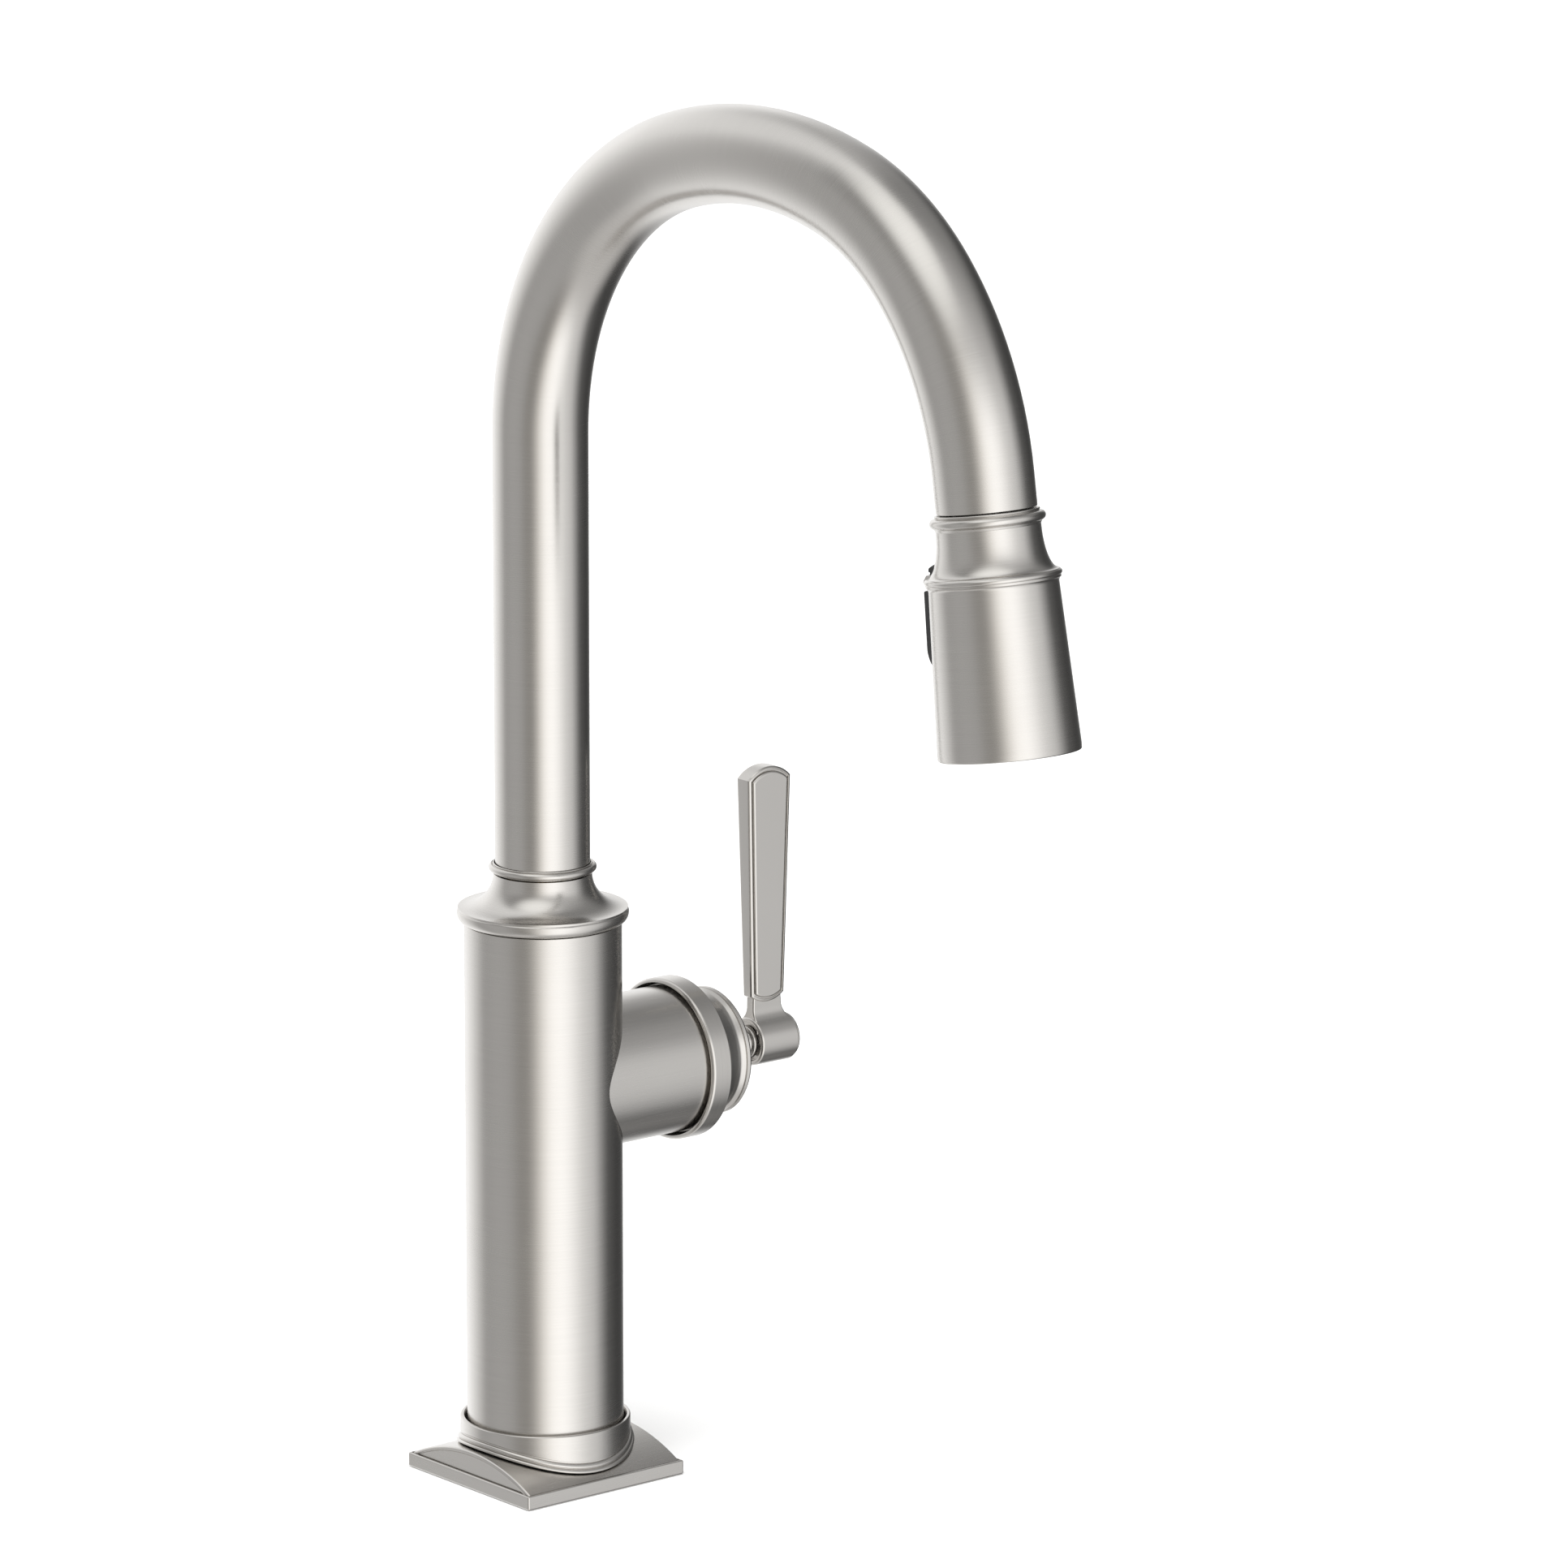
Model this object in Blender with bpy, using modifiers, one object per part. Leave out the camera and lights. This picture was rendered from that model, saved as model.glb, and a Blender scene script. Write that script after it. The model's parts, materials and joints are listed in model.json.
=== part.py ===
"""Pull down kitchen faucet, modelled as an assembly of separate pieces.

Metres, +Z up. The origin is the centre of the base's underside, on the deck. The spout
points to -Y and the valve's hub, with the lever on it, points to +X.

Three frames place the pieces: the column's (local Z is world Z), the hub's (local Z is
the hub's axis, world +X) and the head's (local Z runs up the spray head's axis, and its
zero is where the gooseneck's last arc ends).
"""

import math

import bmesh
import bpy
from mathutils import Matrix, Vector

MM = 0.001
GAP = 0.3 * MM              # clearance between pieces that touch
COARSE, MEDIUM, FINE = 12, 16, 24   # sides of small, middle and large turned pieces

# ---- Base, on the deck ----
PLATE_SIDE = 60.4 * MM
PLATE_EDGE = 4.4 * MM       # height of the plate's flat rim
PLATE_BEVEL = 0.9 * MM
VAULT_INSET = 1.0 * MM      # from the plate's sides to the vault on it
VAULT_RISE = 7.0 * MM       # crown of the vault above the rim
LANDING_STEP = 0.6 * MM     # column's flat seat above the vault's crown
BASE_RING_WALL = 1.8 * MM
BASE_RING_TOP = 18.3 * MM
FOOT_BEAD = 1.1 * MM        # radius of the bead round the ring's foot
GASKET_INNER = 22.0 * MM
GASKET_OUTER = 27.0 * MM
GASKET_DEPTH = 2.0 * MM

# ---- Column and its side neck ----
COLUMN_RADIUS = 24.0 * MM
COLUMN_WALL = 3.0 * MM
COLUMN_FLOOR = 4.0 * MM
COLUMN_TOP = 173.7 * MM
HUB_HEIGHT = 122.87 * MM    # of the hub's axis above the deck
NECK_RADIUS = 22.8 * MM
NECK_WALL = 3.0 * MM
NECK_END = 50.0 * MM        # distance of the neck's end from the column's axis
INSERT_RADIUS = 16.0 * MM
INSERT_WALL = 2.0 * MM
INSERT_FLANGE_RADIUS = 20.0 * MM
INSERT_FLANGE = 3.0 * MM
INSERT_FOOT = 0.5 * MM      # lower end of the insert above the deck

# ---- Top collar and the swivel inside it ----
FLANGE_RADIUS = 26.15 * MM
FLANGE_HEIGHT = 4.5 * MM
COVE_RADIUS = 10.5 * MM     # concave sweep from the flange to the collar's neck
COLLAR_NECK_RADIUS = 15.0 * MM
COLLAR_SKIRT = 14.0 * MM    # length of the skirt that screws into the column
COLLAR_LIP = 2.4 * MM       # thickness of the lip that the swivel's sleeve passes through
SLEEVE_RADIUS = 11.5 * MM
SLEEVE_WALL = 2.0 * MM
SLEEVE_SOCKET = 20.0 * MM   # length of the sleeve's upper end, brazed into the tube
SLEEVE_TAIL = 6.0 * MM      # length of the sleeve below the collar's skirt
SNAP_GROOVE = 0.8 * MM      # depth of the groove for the snap ring
SNAP_OPENING = 5.0 * MM     # gap between the snap ring's ends
BEARING_WALL = 1.9 * MM
BEARING_LENGTH = 8.0 * MM
O_RING_PITCH = 3.2 * MM
RETAINER_THICKNESS = 0.9 * MM
NECK_BEAD_RADIUS = 16.4 * MM
NECK_BEAD_HEIGHT = 3.0 * MM

# ---- Gooseneck ----
TUBE_RADIUS = 14.43 * MM
TUBE_WALL = 1.2 * MM
STRAIGHT_TOP = 323.97 * MM  # where the gooseneck's first arc starts
GOOSENECK_ARCS = (          # radius of each arc, and the turn from upright at its end
    (94.3 * MM, math.radians(74.2)),
    (129.9 * MM, math.radians(106.9)),
    (81.6 * MM, math.radians(136.3)),
    (97.2 * MM, math.radians(171.1)),
)
ARC_STEP = math.radians(11)
MOUTH_DEPTH = 9.4 * MM      # straight end of the tube past the last arc
GUIDE_WALL = 1.8 * MM
GUIDE_LENGTH = 11.4 * MM
MAGNET_PLAY = 1.13 * MM     # between the magnet and the tube round it
MAGNET_BORE = 8.4 * MM
MAGNET_LENGTH = 4.7 * MM
HOSE_FOOT = 1.0 * MM        # lower end of the hose above the deck

# ---- Spray head: depths are measured down its axis from the last arc's end ----
HEAD_BEAD_RADIUS = 16.57 * MM
HEAD_BEAD_DEPTH = 11.8 * MM
HEAD_BEAD_HALF = 2.1 * MM
HEAD_NECK_RADIUS = 15.0 * MM
RIDGE_RADIUS = 19.65 * MM
RIDGE_DEPTH = 28.33 * MM
SKIRT_TOP_RADIUS = 18.55 * MM
SKIRT_TOP_DEPTH = 30.4 * MM
SKIRT_FOOT_RADIUS = 20.5 * MM
HEAD_LENGTH = 79.0 * MM     # depth of the head's lower rim
HEAD_WALL = 1.9 * MM
SPIGOT_WALL = 1.8 * MM      # the collar's spigot, which docks in the guide
DOCK_RING_THICKNESS = 1.5 * MM
DOCK_RING_BORE = 7.0 * MM
NUT_PLAY = 0.43 * MM        # round the hose's nut in the spigot
NUT_WALL = 2.5 * MM
NUT_LENGTH = 10.5 * MM
WASHER_THICKNESS = 1.4 * MM
HOSE_GRIP = 6.0 * MM        # how far the hose's end goes into its nut
FLOW_BORE = 4.0 * MM        # radius of the way through for the water
WATERWAY_RADIUS = 14.2 * MM
WATERWAY_END = 60.0 * MM
CHECK_VALVE_INSET = 1.5 * MM    # of its side from the nut's
CHECK_VALVE_LENGTH = 5.1 * MM
CHECK_VALVE_BORE = 3.0 * MM
SPOOL_RADIUS = 6.6 * MM
SPOOL_LENGTH = 20.0 * MM
SPOOL_DEPTH = 30.0 * MM
SPOOL_STEM = 3.4 * MM
SPOOL_LAND = 4.0 * MM       # length of the spool's two lands
SPOOL_HEADROOM = 2.0 * MM
DIVIDER_LENGTH = 11.0 * MM
FACE_RING_WALL = 2.4 * MM
FACE_RECESS = 1.2 * MM      # spray face above the head's lower rim
AERATOR_RADIUS = 7.0 * MM
AERATOR_LENGTH = 8.0 * MM
AERATOR_BORE = 2.0 * MM

# ---- Spray button: a rocker on the head's back, under a bridge of the ridge ----
BUTTON_HALF_WIDTH = 11.0 * MM
BUTTON_TOP_DEPTH = 23.6 * MM
BUTTON_END_DEPTH = 51.0 * MM
BUTTON_PROUD = 1.8 * MM     # pad above the skirt
BUTTON_THICKNESS = 2.0 * MM
BUTTON_PIVOT_REACH = 12.9 * MM
BUTTON_PIN_RADIUS = 0.8 * MM
BUTTON_PIN_LENGTH = 14.0 * MM
BUTTON_BOSS_HALF = 4.0 * MM
BRIDGE_HALF = 2.0 * MM      # half height of the bridge over the rocker
BRIDGE_WALL = 1.8 * MM
BUTTON_PLAY = 0.7 * MM      # room round the rocker where it swings
BUTTON_CORNER = 5.0 * MM    # radius of its lower corners

# ---- Valve: distances along the hub's axis from the column's axis ----
VALVE_START = 8.0 * MM
VALVE_END = 20.0 * MM
SEAL_THICKNESS = 1.2 * MM
SEAL_INSET = 4.5 * MM       # from the cartridge's side
HOUSING_PLAY = 2.3 * MM     # round the cartridge in the neck
HOUSING_WALL = 3.0 * MM
HOUSING_END = 46.0 * MM
HOUSING_FLOOR = 2.2 * MM
FIXED_DISC_THICKNESS = 4.0 * MM
MOVING_DISC_PLAY = 3.0 * MM # round the disc, for it to slide
MOVING_DISC_THICKNESS = 3.4 * MM
PORT_RADIUS = 2.4 * MM
PORT_INSET = 4.3 * MM       # of the ports' middles from the moving disc's edge
PORT_TURNS = (-40, 40, 180)     # degrees round the hub's axis, of hot, cold and outlet
SEAL_BORE = 3.0 * MM
POCKET_INSETS = (6.5 * MM, 3.5 * MM)    # of the mixing pocket from the disc's edge
POCKET_DEPTH = 1.5 * MM
ROTOR_END = 50.0 * MM
ROTOR_SLOT_HALF = 3.3 * MM
CARTRIDGE_NUT_LENGTH = 3.4 * MM
SUPPLY_RADIUS = 3.0 * MM    # hot, cold and outlet tubes
SUPPLY_CIRCLE = 10.0 * MM   # their distance from the hose where they leave
SUPPLY_FOOT = 1.0 * MM
SUPPLY_TOP_PITCH = 9.0 * MM # between the tubes where they enter the valve
SUPPLY_BEND = 42            # degrees round the hose between them where they leave

# ---- Hub ring and dome cap ----
HUB_RING_RADIUS = 25.2 * MM
HUB_RING_START = 46.3 * MM
HUB_RING_END = 53.5 * MM
HUB_RING_BEVEL = 1.3 * MM
HUB_LIP_RADIUS = 16.0 * MM  # bore of the ring's lip over the neck's end
DOME_WAIST_RADIUS = 17.0 * MM
DOME_RIM_RADIUS = 19.6 * MM
DOME_RIM_POSITION = 64.4 * MM
DOME_FACE = 66.9 * MM
DOME_OPENING = 7.2 * MM
BALL_POSITION = 61.0 * MM
BALL_RADIUS = 8.5 * MM

# ---- Lever ----
STEM_RADIUS = 3.0 * MM
STEM_TIP = 42.0 * MM
STEM_END = 91.0 * MM        # of the stem inside the lever's barrel
STEM_SHOULDER = 0.5 * MM    # thicker stretch between the dome and the disc
STEM_DISC_RADIUS = 5.2 * MM
STEM_DISC_POSITION = 79.6 * MM
STEM_DISC_THICKNESS = 1.6 * MM
BARREL_RADIUS = 7.6 * MM
BARREL_START = 80.2 * MM
BARREL_END = 94.6 * MM
BARREL_RECESS = 1.8 * MM
BARREL_CHAMFER = 0.8 * MM
END_CAP_RADIUS = 6.6 * MM
END_CAP_END = 96.1 * MM
PADDLE_CENTRE = 86.6 * MM
PADDLE_FOOT = 139.0 * MM    # heights above the deck
PADDLE_TOP = 206.4 * MM
PADDLE_ARCH = 3.0 * MM
PADDLE_FOOT_ARCH = 1.8 * MM
PADDLE_TOP_WIDTH = 16.8 * MM
PADDLE_FOOT_WIDTH = 13.2 * MM
PADDLE_TOP_DEPTH = 7.2 * MM
PADDLE_FOOT_DEPTH = 5.4 * MM
LEVER_NECK_WIDTH = 11.2 * MM
LEVER_NECK_DEPTH = 4.4 * MM
SET_SCREW_RADIUS = 1.5 * MM
SET_SCREW_LENGTH = 3.4 * MM

# ---- Heights and places worked out from the sizes above ----
VAULT_TOP = PLATE_EDGE + VAULT_RISE
VAULT_HALF = PLATE_SIDE / 2 - VAULT_INSET
VAULT_CURVE = (VAULT_HALF**2 + VAULT_RISE**2) / (2 * VAULT_RISE)
LANDING_TOP = VAULT_TOP + LANDING_STEP
COLUMN_FOOT = LANDING_TOP + GAP
COLUMN_BORE = COLUMN_RADIUS - COLUMN_WALL
NECK_BORE = NECK_RADIUS - NECK_WALL
HOUSING_RADIUS = NECK_BORE - HOUSING_PLAY
SEAL_RADIUS = HOUSING_RADIUS - SEAL_INSET
MOVING_DISC_RADIUS = HOUSING_RADIUS - HOUSING_WALL - MOVING_DISC_PLAY
PORT_CIRCLE = MOVING_DISC_RADIUS - PORT_INSET
INSERT_BORE = INSERT_RADIUS - INSERT_WALL
COLLAR_FOOT = COLUMN_TOP + GAP
COLLAR_TOP = COLLAR_FOOT + FLANGE_HEIGHT + COVE_RADIUS
BEARING_INNER = SLEEVE_RADIUS + GAP
BEARING_OUTER = BEARING_INNER + BEARING_WALL
COLLAR_BORE = BEARING_OUTER + GAP
SKIRT_FOOT = COLLAR_FOOT - COLLAR_SKIRT
SPOUT_RING_FOOT = COLLAR_TOP + GAP
TUBE_FOOT = SPOUT_RING_FOOT + NECK_BEAD_HEIGHT / 2
HEAD_TILT = math.pi - GOOSENECK_ARCS[-1][1]
GUIDE_OUTER = TUBE_RADIUS - TUBE_WALL - GAP
GUIDE_BORE = GUIDE_OUTER - GUIDE_WALL
MAGNET_RADIUS = TUBE_RADIUS - TUBE_WALL - MAGNET_PLAY
GUIDE_TOP = MOUTH_DEPTH - GUIDE_LENGTH
MAGNET_END = GUIDE_TOP - GAP
DOCK_RING_TOP = MAGNET_END + GAP
SPIGOT_TOP = DOCK_RING_TOP + DOCK_RING_THICKNESS + GAP
SPIGOT_RADIUS = GUIDE_BORE - GAP
SPIGOT_BORE = SPIGOT_RADIUS - SPIGOT_WALL
NUT_RADIUS = SPIGOT_BORE - NUT_PLAY
CHECK_VALVE_RADIUS = NUT_RADIUS - CHECK_VALVE_INSET
HOSE_RADIUS = NUT_RADIUS - NUT_WALL - GAP
COLLAR_END = HEAD_BEAD_DEPTH + HEAD_BEAD_HALF
SHELL_TOP = COLLAR_END + GAP
HOSE_SPLIT = MAGNET_END - MAGNET_LENGTH - 2 * MM
NUT_TOP = SPIGOT_TOP + 3 * MM
NUT_END = NUT_TOP + NUT_LENGTH
NECK_LINER_RADIUS = HEAD_NECK_RADIUS - HEAD_WALL - GAP
BRIDGE_INNER = RIDGE_RADIUS - HEAD_WALL + 0.6 * MM
FACE_DEPTH = HEAD_LENGTH - FACE_RECESS
SKIRT_BORE_DEPTH = HEAD_LENGTH - 4 * MM     # where the skirt's bore becomes straight

COLUMN_FRAME = Matrix.Identity(4)
ALONG_X = Matrix.Rotation(math.pi / 2, 4, "Z") @ Matrix.Rotation(math.pi / 2, 4, "X")
HUB_FRAME = Matrix.Translation((0, 0, HUB_HEIGHT)) @ Matrix.Rotation(math.pi / 2, 4, "Y")


# ---- Tools: scene, materials and shapes ----

def clear_scene():
    """Removes the objects that a new Blender file starts with."""
    for obj in list(bpy.data.objects):
        bpy.data.objects.remove(obj)


def collection(name):
    made = bpy.data.collections.new(name)
    bpy.context.scene.collection.children.link(made)
    return made


def material(name, colour, metallic, roughness):
    made = bpy.data.materials.new(name)
    made.use_nodes = True
    shader = made.node_tree.nodes["Principled BSDF"]
    shader.inputs["Base Color"].default_value = (*colour, 1)
    shader.inputs["Metallic"].default_value = metallic
    shader.inputs["Roughness"].default_value = roughness
    return made


clear_scene()
PARTS = collection("pull_down_faucet")
CUTTERS = collection("cutters")
NICKEL = material("brushed_nickel", (0.56, 0.54, 0.51), 1.0, 0.32)
BRASS = material("brass", (0.72, 0.53, 0.26), 1.0, 0.35)
COPPER = material("copper", (0.72, 0.42, 0.30), 1.0, 0.35)
STEEL = material("steel", (0.60, 0.60, 0.60), 1.0, 0.25)
RUBBER = material("rubber", (0.03, 0.03, 0.03), 0.0, 0.75)
BLACK_PLASTIC = material("black_plastic", (0.02, 0.02, 0.02), 0.0, 0.45)
GREY_PLASTIC = material("grey_plastic", (0.42, 0.42, 0.41), 0.0, 0.50)
WHITE_PLASTIC = material("white_plastic", (0.80, 0.80, 0.78), 0.0, 0.45)
CERAMIC = material("ceramic", (0.86, 0.84, 0.80), 0.0, 0.20)
MAGNET = material("magnet", (0.16, 0.16, 0.17), 0.6, 0.45)
BRAID = material("hose_braid", (0.45, 0.46, 0.47), 0.3, 0.55)


def add_object(name, mesh, finish, frame=COLUMN_FRAME):
    """An object in the parts' collection, or a cutter where it has no finish."""
    obj = bpy.data.objects.new(name, mesh)
    obj.matrix_world = frame
    if finish is None:
        CUTTERS.objects.link(obj)
        obj.hide_render = True
        obj.display_type = "WIRE"
    else:
        PARTS.objects.link(obj)
        mesh.materials.append(finish)
    return obj


def turned(name, outline, sides, finish, frame=COLUMN_FRAME):
    """A turned piece about local Z, from (radius, height) points.

    The points run down the outer side and back up the inner side. An outline that
    starts on the axis ends there too, and any other is closed on itself."""
    count = len(outline)
    edges = [(i, i + 1) for i in range(count - 1)]
    if outline[0][0] > 0:
        edges.append((count - 1, 0))
    mesh = bpy.data.meshes.new(name)
    mesh.from_pydata([(r, 0, h) for r, h in outline], edges, [])
    obj = add_object(name, mesh, finish, frame)
    screw = obj.modifiers.new("Turn", "SCREW")
    screw.steps = sides
    screw.render_steps = sides
    screw.use_merge_vertices = True
    screw.merge_threshold = 0.00001
    return obj


def ring(name, inner, outer, low, high, sides, finish, frame=COLUMN_FRAME):
    """A plain ring between two radii and two heights."""
    outline = [(outer, high), (outer, low), (inner, low), (inner, high)]
    return turned(name, outline, sides, finish, frame)


def torus(name, centre_radius, thickness, height, sides, finish, frame=COLUMN_FRAME):
    """A ring of round section; thickness is the section's radius."""
    turns = [-math.tau * i / 8 for i in range(8)]
    outline = [(centre_radius + thickness * math.cos(a), height + thickness * math.sin(a))
               for a in turns]
    return turned(name, outline, sides, finish, frame)


def rod(name, radius, low, high, sides, finish, frame=COLUMN_FRAME):
    """A solid cylinder about local Z."""
    shape = bmesh.new()
    bmesh.ops.create_cone(shape, cap_ends=True, segments=sides, radius1=radius,
                          radius2=radius, depth=high - low,
                          matrix=Matrix.Translation((0, 0, (low + high) / 2)))
    return from_bmesh(name, shape, finish, frame)


def block(name, low, high, finish, frame=COLUMN_FRAME):
    """A box between two corners."""
    low, high = Vector(low), Vector(high)
    shape = bmesh.new()
    bmesh.ops.create_cube(shape, size=1, matrix=Matrix.Translation((low + high) / 2)
                          @ Matrix.Diagonal((*(high - low), 1)))
    return from_bmesh(name, shape, finish, frame)


def from_bmesh(name, shape, finish, frame):
    mesh = bpy.data.meshes.new(name)
    shape.to_mesh(mesh)
    shape.free()
    return add_object(name, mesh, finish, frame)


def meshed(curve, finish):
    """The curve object as a mesh object of the same name, with its caps welded."""
    bpy.context.view_layer.update()
    evaluated = curve.evaluated_get(bpy.context.evaluated_depsgraph_get())
    mesh = bpy.data.meshes.new_from_object(evaluated)
    mesh.materials.clear()
    shape = bmesh.new()
    shape.from_mesh(mesh)
    bmesh.ops.remove_doubles(shape, verts=shape.verts, dist=0.000001)
    shape.to_mesh(mesh)
    shape.free()
    name, frame = curve.name, curve.matrix_world.copy()
    bpy.data.objects.remove(curve)
    obj = add_object(name, mesh, finish, frame)
    obj.name = name
    return obj


def add_curve(name, dimensions, points, closed, frame):
    data = bpy.data.curves.new(name, "CURVE")
    data.dimensions = dimensions
    spline = data.splines.new("POLY")
    spline.points.add(len(points) - 1)
    for made, point in zip(spline.points, points):
        made.co = (*point, 1)
    spline.use_cyclic_u = closed
    obj = bpy.data.objects.new(name, data)
    PARTS.objects.link(obj)
    obj.matrix_world = frame
    return obj


def slab(name, outline, thickness, finish, frame):
    """A flat outline of (x, y) points, as thick as asked about its local XY plane."""
    curve = add_curve(name, "2D", [(x, y, 0) for x, y in outline], True, frame)
    curve.data.fill_mode = "BOTH"
    curve.data.extrude = thickness / 2
    return meshed(curve, finish)


def pipe(name, points, radius, resolution, finish, closed=False, caps=True):
    """A round tube or rod along the points; it has 4 + 2 * resolution sides."""
    curve = add_curve(name, "3D", points, closed, Matrix.Identity(4))
    curve.data.bevel_depth = radius
    curve.data.bevel_resolution = resolution
    curve.data.use_fill_caps = caps and not closed
    return meshed(curve, finish)


def combine(obj, other, operation):
    """Booleans obj with a cutter."""
    modifier = obj.modifiers.new(operation.title(), "BOOLEAN")
    modifier.operation = operation
    modifier.solver = "EXACT"
    modifier.object = other


def smooth(points, count):
    """Points along a Catmull-Rom curve through the given ones, count to each span."""
    ends = [2 * points[0] - points[1], *points, 2 * points[-1] - points[-2]]
    path = []
    for a, b, c, d in zip(ends, ends[1:], ends[2:], ends[3:]):
        for i in range(count):
            t = i / count
            path.append(0.5 * (2 * b + (c - a) * t + (2 * a - 5 * b + 4 * c - d) * t**2
                               + (3 * b - a - 3 * c + d) * t**3))
    return path + [points[-1]]


def quarter(start, end, count, hollow_first):
    """Points of a quarter ellipse between two (radius, height) points.

    It leaves start along the height and reaches end along the radius where
    hollow_first is true, and the other way round where it is false."""
    path = []
    for i in range(count + 1):
        a = math.pi / 2 * i / count
        along, across = (1 - math.cos(a), math.sin(a)) if hollow_first else (
            math.sin(a), 1 - math.cos(a))
        path.append((start[0] + (end[0] - start[0]) * along,
                     start[1] + (end[1] - start[1]) * across))
    return path


# ---- Base ----

def vault_height(y, lift=0):
    """Height of the vault's top, or of a surface that far above it, at a distance y."""
    curve = VAULT_CURVE + lift
    return VAULT_TOP - VAULT_CURVE + math.sqrt(max(curve**2 - y**2, 0))


def vault_outline(lift, floor):
    """The vault's end outline, (y, z) points, lifted off its surface by lift."""
    base = PLATE_EDGE + lift
    half = math.sqrt((VAULT_CURVE + lift)**2 - (base - VAULT_TOP + VAULT_CURVE)**2)
    steps = 14
    arc = [(y, vault_height(y, lift)) for y in
           (half * (1 - 2 * i / steps) for i in range(steps + 1))]
    arc[0], arc[-1] = (half, base), (-half, base)
    return arc, [(-half, floor), (half, floor)]


def base_plate():
    half = PLATE_SIDE / 2
    plate = block("base_plate", (-half, -half, 0), (half, half, PLATE_EDGE), NICKEL)
    bevel = plate.modifiers.new("Edges", "BEVEL")
    bevel.width = PLATE_BEVEL
    bevel.segments = 2
    arc, foot = vault_outline(0, PLATE_EDGE / 2)
    length = PLATE_SIDE - 2 * VAULT_INSET
    combine(plate, slab("vault", arc + foot, length, None, ALONG_X), "UNION")
    combine(plate, rod("landing", COLUMN_RADIUS - 2 * GAP, PLATE_EDGE / 2, LANDING_TOP,
                       FINE, None), "UNION")
    combine(plate, rod("plate_bore", INSERT_RADIUS + GAP, -1 * MM, LANDING_TOP + 1 * MM,
                       MEDIUM, None), "DIFFERENCE")
    combine(plate, ring("gasket_groove", GASKET_INNER, GASKET_OUTER, -1 * MM,
                        GASKET_DEPTH, FINE, None), "DIFFERENCE")


def base_ring():
    inner = COLUMN_RADIUS + GAP
    outer = inner + BASE_RING_WALL
    lip = 0.6 * MM
    outline = [(outer - 1.2 * MM, BASE_RING_TOP), (outer, BASE_RING_TOP - lip),
               (outer, PLATE_EDGE / 2), (inner, PLATE_EDGE / 2), (inner, BASE_RING_TOP)]
    body = turned("base_ring", outline, FINE, NICKEL)
    path = []
    for i in range(FINE):
        a = math.tau * i / FINE
        y = outer * math.sin(a)
        path.append(Vector((outer * math.cos(a), y, vault_height(y, GAP) + FOOT_BEAD)))
    combine(body, pipe("foot_bead", path, FOOT_BEAD, 3, None, closed=True), "UNION")
    arc, foot = vault_outline(GAP, -5 * MM)
    wide = PLATE_SIDE
    floor = PLATE_EDGE + GAP
    outline = [(wide, floor), *arc, (-wide, floor), (-wide, foot[0][1]), (wide, foot[1][1])]
    combine(body, slab("vault_room", outline, 2 * wide, None, ALONG_X), "DIFFERENCE")


def base_gasket():
    ring("base_gasket", GASKET_INNER + GAP, GASKET_OUTER - GAP, 0, GASKET_DEPTH - GAP,
         FINE, RUBBER)


def shank_insert():
    seat = COLUMN_FOOT + COLUMN_FLOOR + GAP
    outline = [(INSERT_FLANGE_RADIUS, seat + INSERT_FLANGE), (INSERT_FLANGE_RADIUS, seat),
               (INSERT_RADIUS, seat), (INSERT_RADIUS, INSERT_FOOT),
               (INSERT_BORE, INSERT_FOOT), (INSERT_BORE, seat + INSERT_FLANGE)]
    turned("shank_insert", outline, MEDIUM, BRASS)


# ---- Column and collar ----

def body_shell():
    shell = rod("body_shell", COLUMN_RADIUS, COLUMN_FOOT, COLUMN_TOP, FINE, NICKEL)
    combine(shell, rod("neck", NECK_RADIUS, 10 * MM, NECK_END, FINE, None, HUB_FRAME),
            "UNION")
    combine(shell, rod("column_bore", COLUMN_BORE, COLUMN_FOOT + COLUMN_FLOOR,
                       COLUMN_TOP + 5 * MM, FINE, None), "DIFFERENCE")
    combine(shell, rod("neck_bore", NECK_BORE, 1 * MM, NECK_END + 5 * MM, FINE, None,
                       HUB_FRAME), "DIFFERENCE")
    combine(shell, rod("floor_bore", INSERT_RADIUS + GAP, COLUMN_FOOT - 5 * MM,
                       COLUMN_FOOT + COLUMN_FLOOR + 1 * MM, MEDIUM, None), "DIFFERENCE")


def top_collar():
    cove_foot = COLLAR_FOOT + FLANGE_HEIGHT
    cove = quarter((COLLAR_NECK_RADIUS, COLLAR_TOP),
                   (COLLAR_NECK_RADIUS + COVE_RADIUS, cove_foot), 6, True)
    flange = [(FLANGE_RADIUS, COLLAR_FOOT + 0.6 * FLANGE_HEIGHT),
              (COLUMN_RADIUS, COLLAR_FOOT)]
    skirt = COLUMN_BORE - GAP
    inside = [(skirt, COLLAR_FOOT), (skirt, SKIRT_FOOT), (COLLAR_BORE, SKIRT_FOOT),
              (COLLAR_BORE, COLLAR_TOP - COLLAR_LIP), (SLEEVE_RADIUS + GAP, COLLAR_TOP - COLLAR_LIP),
              (SLEEVE_RADIUS + GAP, COLLAR_TOP)]
    turned("top_collar", cove + flange + inside, FINE, NICKEL)


def swivel_bearings():
    top = COLLAR_TOP - COLLAR_LIP - GAP
    ring("swivel_bearing_upper", BEARING_INNER, BEARING_OUTER, top - BEARING_LENGTH, top,
         MEDIUM, WHITE_PLASTIC)
    ring("swivel_bearing_lower", BEARING_INNER, BEARING_OUTER, SKIRT_FOOT + GAP,
         SKIRT_FOOT + GAP + BEARING_LENGTH, MEDIUM, WHITE_PLASTIC)


# ---- Spout ----

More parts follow.
